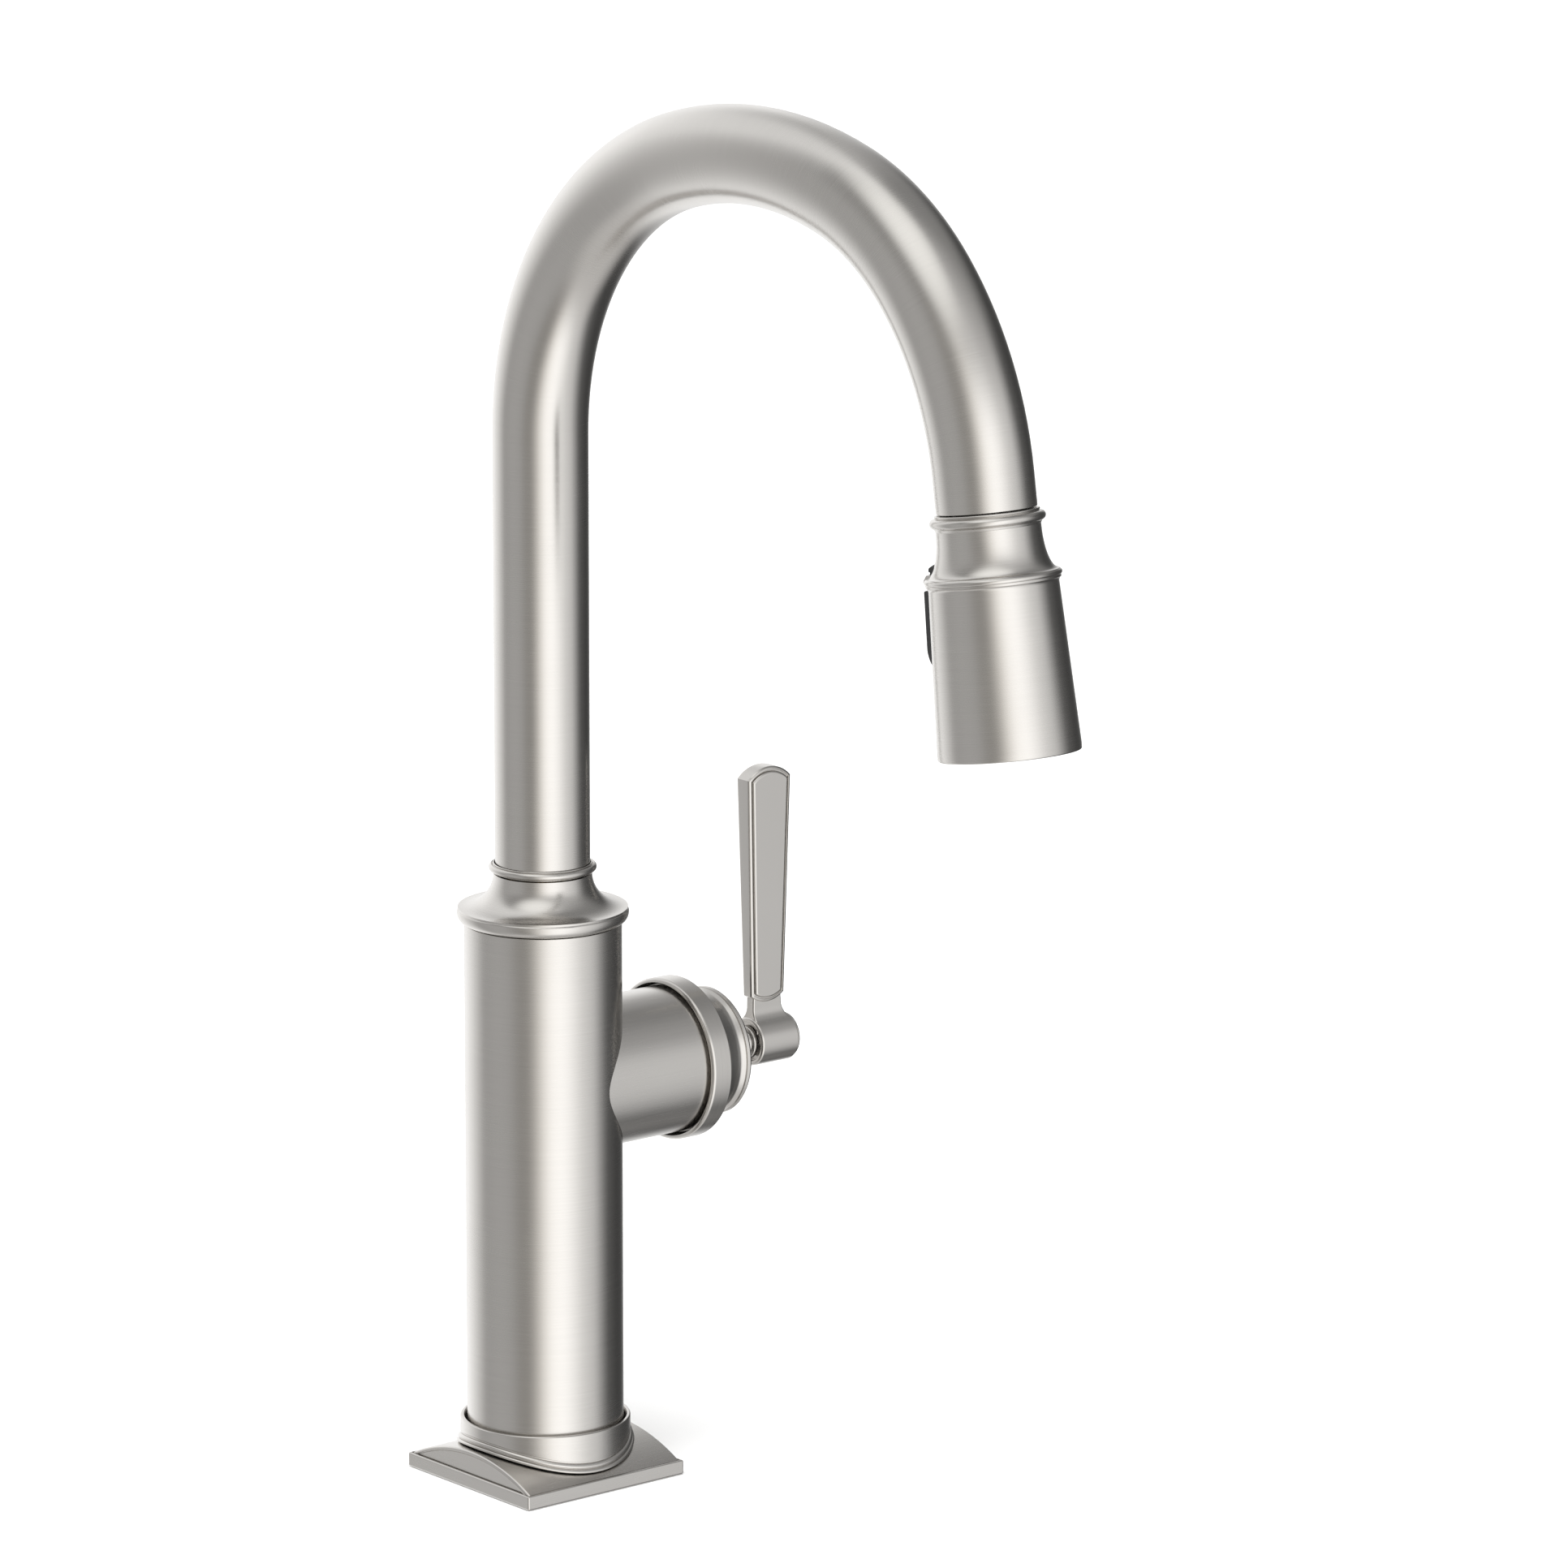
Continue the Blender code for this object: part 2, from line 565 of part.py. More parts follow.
def gooseneck(foot, depth):
    """The spout's centreline from a height up to a depth past the last arc's end."""
    points = [Vector((0, 0, foot)), Vector((0, 0, STRAIGHT_TOP))]
    heading = 0
    for radius, end in GOOSENECK_ARCS:
        start = points[-1]
        steps = max(1, round((end - heading) / ARC_STEP))
        for i in range(1, steps + 1):
            turn = heading + (end - heading) * i / steps
            forward = radius * (math.cos(heading) - math.cos(turn))
            up = radius * (math.sin(turn) - math.sin(heading))
            points.append(start + Vector((0, -forward, up)))
        heading = end
    if depth > 0:
        down = Vector((0, -math.sin(heading), math.cos(heading)))
        points.append(points[-1] + depth * down)
    return points


HEAD_ORIGIN = gooseneck(TUBE_FOOT, 0)[-1]
HEAD_FRAME = Matrix.Translation(HEAD_ORIGIN) @ Matrix.Rotation(-HEAD_TILT, 4, "X")


def spout_tube():
    tube = pipe("spout_tube", gooseneck(TUBE_FOOT, MOUTH_DEPTH), TUBE_RADIUS, 9, NICKEL,
                caps=False)
    wall = tube.modifiers.new("Wall", "SOLIDIFY")
    wall.thickness = TUBE_WALL
    wall.offset = -1
    wall.use_even_offset = True


def spout_ring():
    bead = NECK_BEAD_RADIUS
    middle = SPOUT_RING_FOOT + NECK_BEAD_HEIGHT * 0.4
    top = SPOUT_RING_FOOT + NECK_BEAD_HEIGHT
    step = TUBE_FOOT - GAP
    outline = [(TUBE_RADIUS + 0.9 * MM, top), (bead - 0.3 * MM, middle + 0.9 * MM),
               (bead, middle), (bead - 0.4 * MM, middle - 0.8 * MM),
               (COLLAR_NECK_RADIUS, SPOUT_RING_FOOT),
               (SLEEVE_RADIUS + GAP, SPOUT_RING_FOOT), (SLEEVE_RADIUS + GAP, step),
               (TUBE_RADIUS + GAP, step), (TUBE_RADIUS + GAP, top)]
    turned("spout_ring", outline, FINE, NICKEL)


def swivel_sleeve():
    socket = TUBE_RADIUS - TUBE_WALL - GAP
    bore = SLEEVE_RADIUS - SLEEVE_WALL
    foot = SKIRT_FOOT - SLEEVE_TAIL
    groove_top = SKIRT_FOOT - GAP
    groove_foot = groove_top - RETAINER_THICKNESS - 2 * GAP
    groove = SLEEVE_RADIUS - SNAP_GROOVE
    top = TUBE_FOOT + SLEEVE_SOCKET
    outline = [(socket, top), (socket, TUBE_FOOT), (SLEEVE_RADIUS, TUBE_FOOT),
               (SLEEVE_RADIUS, groove_top), (groove, groove_top), (groove, groove_foot),
               (SLEEVE_RADIUS, groove_foot), (SLEEVE_RADIUS, foot), (bore, foot),
               (bore, top)]
    turned("swivel_sleeve", outline, MEDIUM, BRASS)
    clip = ring("snap_ring", groove + GAP, BEARING_OUTER + 2 * MM, groove_foot + GAP,
                groove_top - GAP, MEDIUM, STEEL)
    half = SNAP_OPENING / 2
    combine(clip, block("snap_ring_gap", (0, -half, groove_foot),
                        (2 * SLEEVE_RADIUS, half, groove_top), None), "DIFFERENCE")


def spout_o_rings():
    centre = (SLEEVE_RADIUS + COLLAR_BORE) / 2
    section = (COLLAR_BORE - SLEEVE_RADIUS) / 2 - GAP
    low = SKIRT_FOOT + GAP + BEARING_LENGTH + GAP + section
    for name, height in (("spout_oring_lower", low),
                         ("spout_oring_upper", low + O_RING_PITCH)):
        torus(name, centre, section, height, MEDIUM, RUBBER)


def dock():
    """The guide and the magnet in the tube's mouth; heights are minus the depths."""
    ring("dock_guide", GUIDE_BORE, GUIDE_OUTER, -MOUTH_DEPTH, -GUIDE_TOP, MEDIUM,
         BLACK_PLASTIC, HEAD_FRAME)
    ring("dock_magnet", MAGNET_BORE, MAGNET_RADIUS, -MAGNET_END,
         MAGNET_LENGTH - MAGNET_END, MEDIUM, MAGNET, HEAD_FRAME)


def spray_hose():
    """The hose up the column and round the gooseneck, as far as the head's own end."""
    straight = 3 * MM
    split = HEAD_FRAME @ Vector((0, 0, GAP - HOSE_SPLIT))
    bend = HEAD_FRAME @ Vector((0, 0, GAP - HOSE_SPLIT + straight))
    path = [p for p in gooseneck(HOSE_FOOT, 0)
            if (p - split).length > 2 * straight and (p - HEAD_ORIGIN).length > straight]
    pipe("spray_hose", [*path, bend, split], HOSE_RADIUS, 3, BRAID)


# ---- Spray head ----

def head_collar():
    """The bead ring that closes on the tube's mouth, with the spigot that docks."""
    top = HEAD_BEAD_DEPTH - HEAD_BEAD_HALF
    outline = [(SPIGOT_RADIUS, -SPIGOT_TOP), (SPIGOT_RADIUS, -top),
               (TUBE_RADIUS, -top), (HEAD_BEAD_RADIUS - 0.5 * MM, -top - 0.5 * MM),
               (HEAD_BEAD_RADIUS, -HEAD_BEAD_DEPTH),
               (HEAD_BEAD_RADIUS - 0.5 * MM, 0.7 * MM - COLLAR_END),
               (HEAD_NECK_RADIUS, -COLLAR_END), (SPIGOT_BORE, -COLLAR_END),
               (SPIGOT_BORE, -SPIGOT_TOP)]
    turned("head_collar", outline, FINE, NICKEL, HEAD_FRAME)


def dock_ring():
    ring("dock_ring", DOCK_RING_BORE, SPIGOT_RADIUS, GAP - SPIGOT_TOP, -DOCK_RING_TOP,
         MEDIUM, STEEL, HEAD_FRAME)


def hose_fittings():
    """What joins the hose to the head: its end, the nut on it and the washer."""
    rod("hose_end", HOSE_RADIUS, GAP - NUT_TOP - HOSE_GRIP, -HOSE_SPLIT, COARSE, BRAID,
        HEAD_FRAME)
    bore = HOSE_RADIUS + GAP
    waist = NUT_TOP + HOSE_GRIP + GAP
    outline = [(NUT_RADIUS, -NUT_TOP), (NUT_RADIUS, -NUT_END), (FLOW_BORE, -NUT_END),
               (FLOW_BORE, -waist), (bore, -waist), (bore, -NUT_TOP)]
    turned("hose_nut", outline, MEDIUM, BRASS, HEAD_FRAME)
    washer_top = NUT_END + GAP
    ring("hose_washer", FLOW_BORE, CHECK_VALVE_RADIUS, -washer_top - WASHER_THICKNESS,
         -washer_top, COARSE, RUBBER, HEAD_FRAME)


def shell_outline():
    """The head shell's outer side, (radius, height) points from its top down."""
    ridge_top = RIDGE_DEPTH - 1.1 * MM
    cove = quarter((HEAD_NECK_RADIUS, -SHELL_TOP - 1 * MM),
                   (RIDGE_RADIUS - 0.9 * MM, -ridge_top), 6, True)
    rim = HEAD_LENGTH
    return [(HEAD_NECK_RADIUS, -SHELL_TOP), *cove, (RIDGE_RADIUS, -RIDGE_DEPTH),
            (RIDGE_RADIUS - 0.4 * MM, -RIDGE_DEPTH - 1.1 * MM),
            (SKIRT_TOP_RADIUS, -SKIRT_TOP_DEPTH), (SKIRT_FOOT_RADIUS, 2.4 * MM - rim),
            (SKIRT_FOOT_RADIUS - 0.4 * MM, 0.7 * MM - rim),
            (SKIRT_FOOT_RADIUS - 1.2 * MM, -rim)]


def button_outline(margin):
    """The rocker's outline seen from behind the head, (x, depth) points."""
    half = BUTTON_HALF_WIDTH + margin
    top, end = BUTTON_TOP_DEPTH - margin, BUTTON_END_DEPTH + margin
    corner = BUTTON_CORNER
    outline = [(half, -top), (-half, -top)]
    for i in range(5):
        a = math.pi / 2 * i / 4
        outline.append((-half + corner * (1 - math.cos(a)), corner * (1 - math.sin(a)) - end))
    for i in range(5):
        a = math.pi / 2 * i / 4
        outline.append((half - corner * (1 - math.sin(a)), corner * (1 - math.cos(a)) - end))
    return outline


def behind_head(reach_low, reach_high):
    """Frame and thickness of a slab that stands behind the head between two reaches."""
    middle = (reach_low + reach_high) / 2
    turn = Matrix.Translation((0, middle, 0)) @ Matrix.Rotation(math.pi / 2, 4, "X")
    return HEAD_FRAME @ turn, reach_high - reach_low


def shell_bore(depth):
    """Inner radius of the head's skirt at a depth between its top and its straight foot."""
    share = (depth - SKIRT_TOP_DEPTH) / (SKIRT_BORE_DEPTH - SKIRT_TOP_DEPTH)
    return SKIRT_TOP_RADIUS - HEAD_WALL + share * (SKIRT_FOOT_RADIUS - SKIRT_TOP_RADIUS)


def head_shell():
    outer = shell_outline()
    rim = SKIRT_FOOT_RADIUS - HEAD_WALL
    inner = [(rim, -HEAD_LENGTH), (rim, -SKIRT_BORE_DEPTH),
             (SKIRT_TOP_RADIUS - HEAD_WALL, -SKIRT_TOP_DEPTH),
             (SKIRT_TOP_RADIUS - HEAD_WALL - 1 * MM, 1 * MM - RIDGE_DEPTH),
             (HEAD_NECK_RADIUS - HEAD_WALL, -SHELL_TOP - 6 * MM),
             (HEAD_NECK_RADIUS - HEAD_WALL, -SHELL_TOP)]
    shell = turned("head_shell", outer + inner, FINE, NICKEL, HEAD_FRAME)
    # The bridge thickens the ridge where it crosses the rocker.
    bridge = ring("bridge", BRIDGE_INNER - 1 * MM, BRIDGE_INNER + BRIDGE_WALL,
                  -RIDGE_DEPTH - BRIDGE_HALF, BRIDGE_HALF - RIDGE_DEPTH, FINE, None,
                  HEAD_FRAME)
    frame, thickness = behind_head(8 * MM, 26 * MM)
    wide = BUTTON_HALF_WIDTH + 2.2 * MM
    low, high = -RIDGE_DEPTH - 6 * MM, 6 * MM - RIDGE_DEPTH
    corners = [(wide, high), (-wide, high), (-wide, low), (wide, low)]
    combine(bridge, slab("bridge_sector", corners, thickness, None, frame), "INTERSECT")
    combine(shell, bridge, "UNION")
    # The rocker's window is open above and below the bridge and runs under it.
    frame, thickness = behind_head(10 * MM, 30 * MM)
    window = slab("button_window", button_outline(BUTTON_PLAY), thickness, None, frame)
    keep = ring("bridge_keep", BRIDGE_INNER, 40 * MM, -RIDGE_DEPTH - BRIDGE_HALF,
                BRIDGE_HALF - RIDGE_DEPTH, FINE, None, HEAD_FRAME)
    combine(window, keep, "DIFFERENCE")
    combine(shell, window, "DIFFERENCE")


def spray_button():
    """The rocker: two pads joined by a waist that passes under the bridge."""
    above = RIDGE_DEPTH - BRIDGE_HALF - BUTTON_PLAY
    below = RIDGE_DEPTH + BRIDGE_HALF + BUTTON_PLAY
    waist = BRIDGE_INNER - GAP
    pad = SKIRT_TOP_RADIUS + BUTTON_PROUD
    end = BUTTON_END_DEPTH
    outline = [(waist - 1.2 * MM, -BUTTON_TOP_DEPTH), (waist, -BUTTON_TOP_DEPTH - 0.7 * MM),
               (waist + 0.5 * MM, -above), (waist, -above), (waist, -below),
               (pad, -below), (pad + 0.2 * MM, -below - 3 * MM), (pad + 0.5 * MM, 4 * MM - end),
               (pad - 0.2 * MM, 1.5 * MM - end), (pad - 1.6 * MM, -end),
               (waist - BUTTON_THICKNESS + 0.8 * MM, -end),
               (waist - BUTTON_THICKNESS, -BUTTON_TOP_DEPTH)]
    rocker = turned("spray_button", outline, FINE * 2, BLACK_PLASTIC, HEAD_FRAME)
    frame, thickness = behind_head(8 * MM, 30 * MM)
    combine(rocker, slab("button_blank", button_outline(0), thickness, None, frame),
            "INTERSECT")
    reach = BUTTON_PIVOT_REACH
    boss_low = reach - BUTTON_PIN_RADIUS - 1.3 * MM
    boss = block("button_boss", (-BUTTON_BOSS_HALF, boss_low, -RIDGE_DEPTH - 1.9 * MM),
                 (BUTTON_BOSS_HALF, waist - 0.9 * MM, 1.9 * MM - RIDGE_DEPTH), None,
                 HEAD_FRAME)
    combine(rocker, boss, "UNION")
    combine(rocker, rod("button_bore", BUTTON_PIN_RADIUS + GAP, -BUTTON_HALF_WIDTH * 2,
                        BUTTON_HALF_WIDTH * 2, 12, None, button_axis()), "DIFFERENCE")
    half = BUTTON_PIN_LENGTH / 2
    rod("button_pin", BUTTON_PIN_RADIUS, -half, half, 12, STEEL, button_axis())


def button_axis():
    """Frame whose local Z is the rocker's pin."""
    return (HEAD_FRAME @ Matrix.Translation((0, BUTTON_PIVOT_REACH, -RIDGE_DEPTH))
            @ Matrix.Rotation(math.pi / 2, 4, "Y"))


def check_valve():
    top = NUT_END + WASHER_THICKNESS + 2 * GAP
    ring("check_valve", CHECK_VALVE_BORE, CHECK_VALVE_RADIUS, -top - CHECK_VALVE_LENGTH,
         -top, COARSE, WHITE_PLASTIC, HEAD_FRAME)


def waterway():
    """The head's inner body, with the ears that hold the rocker's pin."""
    top = SHELL_TOP
    neck = NECK_LINER_RADIUS
    seat = NUT_END + WASHER_THICKNESS + CHECK_VALVE_LENGTH + 3 * GAP
    spool_seat = SPOOL_DEPTH - SPOOL_HEADROOM
    outline = [(neck, -top), (neck, -top - 5 * MM), (WATERWAY_RADIUS, -top - 12 * MM),
               (WATERWAY_RADIUS, -WATERWAY_END), (SPOOL_RADIUS + GAP, -WATERWAY_END),
               (SPOOL_RADIUS + GAP, -spool_seat), (FLOW_BORE, -spool_seat), (FLOW_BORE, -seat),
               (CHECK_VALVE_RADIUS + GAP, -seat), (CHECK_VALVE_RADIUS + GAP, -top)]
    body = turned("waterway", outline, MEDIUM, GREY_PLASTIC, HEAD_FRAME)
    inside, outside = BUTTON_BOSS_HALF + GAP, BUTTON_PIN_LENGTH / 2 - 0.6 * MM
    for side in (-1, 1):
        left, right = sorted((side * inside, side * outside))
        ear = block("pin_ear", (left, 9 * MM, -RIDGE_DEPTH - 1.8 * MM),
                    (right, BUTTON_PIVOT_REACH + 1.5 * MM, 1.8 * MM - RIDGE_DEPTH), None,
                    HEAD_FRAME)
        combine(body, ear, "UNION")
    room = block("boss_room", (-inside, 10.2 * MM, -RIDGE_DEPTH - 3 * MM),
                 (inside, 20 * MM, 3 * MM - RIDGE_DEPTH), None, HEAD_FRAME)
    combine(body, room, "DIFFERENCE")
    half = BUTTON_PIN_LENGTH / 2
    combine(body, rod("pin_bore", BUTTON_PIN_RADIUS + GAP, -half - GAP, half + GAP, 12,
                      None, button_axis()), "DIFFERENCE")


def diverter():
    """The spool that sends the water to the spray or to the stream."""
    top, end = SPOOL_DEPTH, SPOOL_DEPTH + SPOOL_LENGTH
    stem = SPOOL_STEM
    land, neck = SPOOL_LAND, SPOOL_LAND + 1 * MM
    outline = [(0, -top), (SPOOL_RADIUS, -top), (SPOOL_RADIUS, -top - land),
               (stem, -top - neck), (stem, neck - end), (SPOOL_RADIUS, land - end),
               (SPOOL_RADIUS, -end), (0, -end)]
    turned("diverter_spool", outline, COARSE, WHITE_PLASTIC, HEAD_FRAME)


def outlet_face():
    """The flow divider, the spray face, its ring and the aerator in its middle."""
    top = WATERWAY_END + GAP
    divider_end = top + DIVIDER_LENGTH
    wide = SKIRT_FOOT_RADIUS - HEAD_WALL - GAP - FACE_RING_WALL - GAP
    hole = AERATOR_RADIUS + GAP
    throat = 5 * MM
    outline = [(WATERWAY_RADIUS, -top), (wide, 3 * MM - divider_end), (wide, -divider_end),
               (hole, -divider_end), (hole, 4 * MM - divider_end),
               (throat, 4 * MM - divider_end), (throat, -top)]
    turned("flow_divider", outline, MEDIUM, GREY_PLASTIC, HEAD_FRAME)
    rim = SKIRT_FOOT_RADIUS - HEAD_WALL - GAP
    ring_top = divider_end - 6 * MM
    outline = [(shell_bore(ring_top) - GAP, -ring_top), (rim, -SKIRT_BORE_DEPTH),
               (rim, FACE_RECESS / 2 - HEAD_LENGTH),
               (rim - FACE_RING_WALL, FACE_RECESS / 2 - HEAD_LENGTH),
               (rim - FACE_RING_WALL, -ring_top)]
    turned("face_ring", outline, FINE, BLACK_PLASTIC, HEAD_FRAME)
    face_top = divider_end + GAP
    ring("spray_face", hole, wide, -FACE_DEPTH, -face_top, FINE, RUBBER, HEAD_FRAME)
    mesh_end = FACE_DEPTH - 0.4 * MM
    ring("aerator", AERATOR_BORE, AERATOR_RADIUS, -mesh_end, AERATOR_LENGTH - mesh_end, MEDIUM,
         GREY_PLASTIC, HEAD_FRAME)


# ---- Valve and its cartridge ----

def valve_body():
    body = rod("valve_body", NECK_BORE - GAP, VALVE_START, VALVE_END, MEDIUM, BRASS,
               HUB_FRAME)
    for turn in PORT_TURNS:
        spot = (HUB_FRAME @ Matrix.Rotation(math.radians(turn), 4, "Z")
                @ Matrix.Translation((PORT_CIRCLE, 0, 0)))
        combine(body, rod("valve_port", PORT_RADIUS, VALVE_START + 4 * MM,
                          VALVE_END + 1 * MM, 10, None, spot), "DIFFERENCE")


def supply_tubes():
    """Hot, cold and outlet tubes from the valve down past the hose and out below."""
    middle = (VALVE_START + VALVE_END) / 2
    reach = NECK_BORE - GAP
    for name, finish, side in (("hot_inlet_tube", COPPER, -1), ("outlet_tube", BRASS, 0),
                               ("cold_inlet_tube", COPPER, 1)):
        top_y = side * SUPPLY_TOP_PITCH
        near = max(abs(top_y) - SUPPLY_RADIUS, 0)
        top_z = HUB_HEIGHT - math.sqrt(reach**2 - near**2) - GAP
        bend = math.radians(SUPPLY_BEND) * side
        foot = Vector((SUPPLY_CIRCLE * math.cos(bend), SUPPLY_CIRCLE * math.sin(bend), 0))
        top = Vector((middle, top_y, top_z))
        route = [top, top - Vector((0, 0, 14 * MM)), foot + Vector((0, 0, 48 * MM)),
                 foot + Vector((0, 0, 30 * MM)), foot + Vector((0, 0, SUPPLY_FOOT))]
        pipe(name, smooth(route, 3), SUPPLY_RADIUS, 2, finish)


def cartridge():
    seal_start = VALVE_END + GAP
    ring("cartridge_seal", SEAL_BORE, SEAL_RADIUS, seal_start, seal_start + SEAL_THICKNESS,
         MEDIUM, RUBBER, HUB_FRAME)
    start = seal_start + SEAL_THICKNESS + GAP
    bore = HOUSING_RADIUS - HOUSING_WALL
    floor = start + HOUSING_FLOOR
    outline = [(HOUSING_RADIUS, HOUSING_END), (HOUSING_RADIUS, start), (FLOW_BORE, start),
               (FLOW_BORE, floor), (bore, floor), (bore, HOUSING_END)]
    turned("cartridge_housing", outline, MEDIUM, WHITE_PLASTIC, HUB_FRAME)
    disc_start = floor + GAP
    disc_end = disc_start + FIXED_DISC_THICKNESS
    disc = rod("fixed_disc", bore - GAP, disc_start, disc_end, MEDIUM, CERAMIC, HUB_FRAME)
    for turn in PORT_TURNS:
        spot = (HUB_FRAME @ Matrix.Rotation(math.radians(turn), 4, "Z")
                @ Matrix.Translation((PORT_CIRCLE, 0, 0)))
        combine(disc, rod("disc_port", PORT_RADIUS, disc_start - 1 * MM, disc_end + 1 * MM,
                          10, None, spot), "DIFFERENCE")
    moving_start = disc_end + GAP
    moving_end = moving_start + MOVING_DISC_THICKNESS
    moving = rod("moving_disc", MOVING_DISC_RADIUS, moving_start, moving_end, MEDIUM,
                 CERAMIC, HUB_FRAME)
    wide, tall = (MOVING_DISC_RADIUS - inset for inset in POCKET_INSETS)
    combine(moving, block("mixing_pocket", (-wide, -tall, moving_start - 1 * MM),
                          (wide, tall, moving_start + POCKET_DEPTH), None, HUB_FRAME), "DIFFERENCE")
    rotor_start = moving_end + GAP
    rotor = rod("cartridge_rotor", bore - GAP, rotor_start, ROTOR_END, MEDIUM,
                BLACK_PLASTIC, HUB_FRAME)
    # The slot lets the stem's tip rise as the lever tilts out. Local X is world -Z.
    combine(rotor, block("rotor_slot", (-11.9 * MM, -ROTOR_SLOT_HALF, STEM_TIP - 1.5 * MM),
                         (3.9 * MM, ROTOR_SLOT_HALF, ROTOR_END + 1 * MM), None, HUB_FRAME),
            "DIFFERENCE")
    nut_end = NECK_END - GAP
    ring("cartridge_nut", bore + GAP, NECK_BORE - GAP, nut_end - CARTRIDGE_NUT_LENGTH,
         nut_end, MEDIUM, BRASS, HUB_FRAME)


def hub():
    bore = NECK_RADIUS + GAP
    lip = NECK_END + GAP
    bevel = HUB_RING_BEVEL
    outline = [(HUB_RING_RADIUS - 0.4 * MM, HUB_RING_END),
               (HUB_RING_RADIUS, HUB_RING_END - 0.4 * MM),
               (HUB_RING_RADIUS, HUB_RING_START + bevel),
               (HUB_RING_RADIUS - bevel, HUB_RING_START), (bore, HUB_RING_START),
               (bore, lip), (HUB_LIP_RADIUS, lip), (HUB_LIP_RADIUS, HUB_RING_END)]
    turned("hub_ring", outline, FINE, NICKEL, HUB_FRAME)
    back = HUB_RING_END + GAP
    groove = quarter((HUB_RING_RADIUS - 1.4 * MM, back),
                     (DOME_WAIST_RADIUS, back + 3.4 * MM), 4, False)
    rim = [(DOME_WAIST_RADIUS, back + 6 * MM), (DOME_WAIST_RADIUS + 1.1 * MM, back + 8.4 * MM),
           (DOME_RIM_RADIUS - 0.3 * MM, DOME_RIM_POSITION - 0.7 * MM),
           (DOME_RIM_RADIUS, DOME_RIM_POSITION),
           (DOME_RIM_RADIUS - 0.6 * MM, DOME_RIM_POSITION + 0.8 * MM),
           (DOME_WAIST_RADIUS - 1 * MM, DOME_FACE - 0.8 * MM),
           (DOME_OPENING + 4 * MM, DOME_FACE), (DOME_OPENING, DOME_FACE)]
    socket = BALL_RADIUS + 2 * GAP
    skirt_outer, skirt_inner = HUB_LIP_RADIUS - GAP, HUB_LIP_RADIUS - 1.2 * MM
    inside = [(skirt_inner, lip + 0.7 * MM), (skirt_inner, back + 1 * MM),
              (socket, back + 2.5 * MM), (socket, BALL_POSITION + 1 * MM),
              (DOME_OPENING + 0.6 * MM, DOME_FACE - 1.8 * MM)]
    outer = [(skirt_outer, lip + 0.7 * MM), (skirt_outer, back)] + groove + rim
    turned("dome_cap", outer[::-1] + inside, FINE, NICKEL, HUB_FRAME)


# ---- Lever ----

def stem():
    turned("stem_ball", ball_outline(), MEDIUM, STEEL, HUB_FRAME)
    disc_start = STEM_DISC_POSITION - STEM_DISC_THICKNESS / 2
    disc_end = disc_start + STEM_DISC_THICKNESS
    tip = STEM_TIP
    thick, shoulder = STEM_RADIUS + STEM_SHOULDER, DOME_FACE + 3.2 * MM
    outline = [(0, STEM_END), (STEM_RADIUS, STEM_END), (STEM_RADIUS, disc_end),
               (STEM_DISC_RADIUS - 0.3 * MM, disc_end),
               (STEM_DISC_RADIUS, disc_end - 0.4 * MM),
               (STEM_DISC_RADIUS, disc_start + 0.4 * MM),
               (STEM_DISC_RADIUS - 0.3 * MM, disc_start), (thick, disc_start),
               (thick, shoulder), (STEM_RADIUS, shoulder), (STEM_RADIUS, tip + 1 * MM),
               (STEM_RADIUS - 0.8 * MM, tip), (0, tip)]
    turned("lever_stem", outline, COARSE, NICKEL, HUB_FRAME)


def ball_outline():
    """The ball's section, from the bore's outer end round to its inner end."""
    bore = STEM_RADIUS + GAP
    start = math.acos(bore / BALL_RADIUS)
    steps = 10
    return [(BALL_RADIUS * math.cos(a), BALL_POSITION + BALL_RADIUS * math.sin(a))
            for a in (start * (1 - 2 * i / steps) for i in range(steps + 1))]


def arch(half, rise, count):
    """Points of a shallow arc from +half to -half, which rises by rise in its middle."""
    radius = (half**2 + rise**2) / (2 * rise)
    turn = math.asin(half / radius)
    return [(radius * math.sin(a), rise - radius * (1 - math.cos(a)))
            for a in (turn * (1 - 2 * i / count) for i in range(count + 1))]


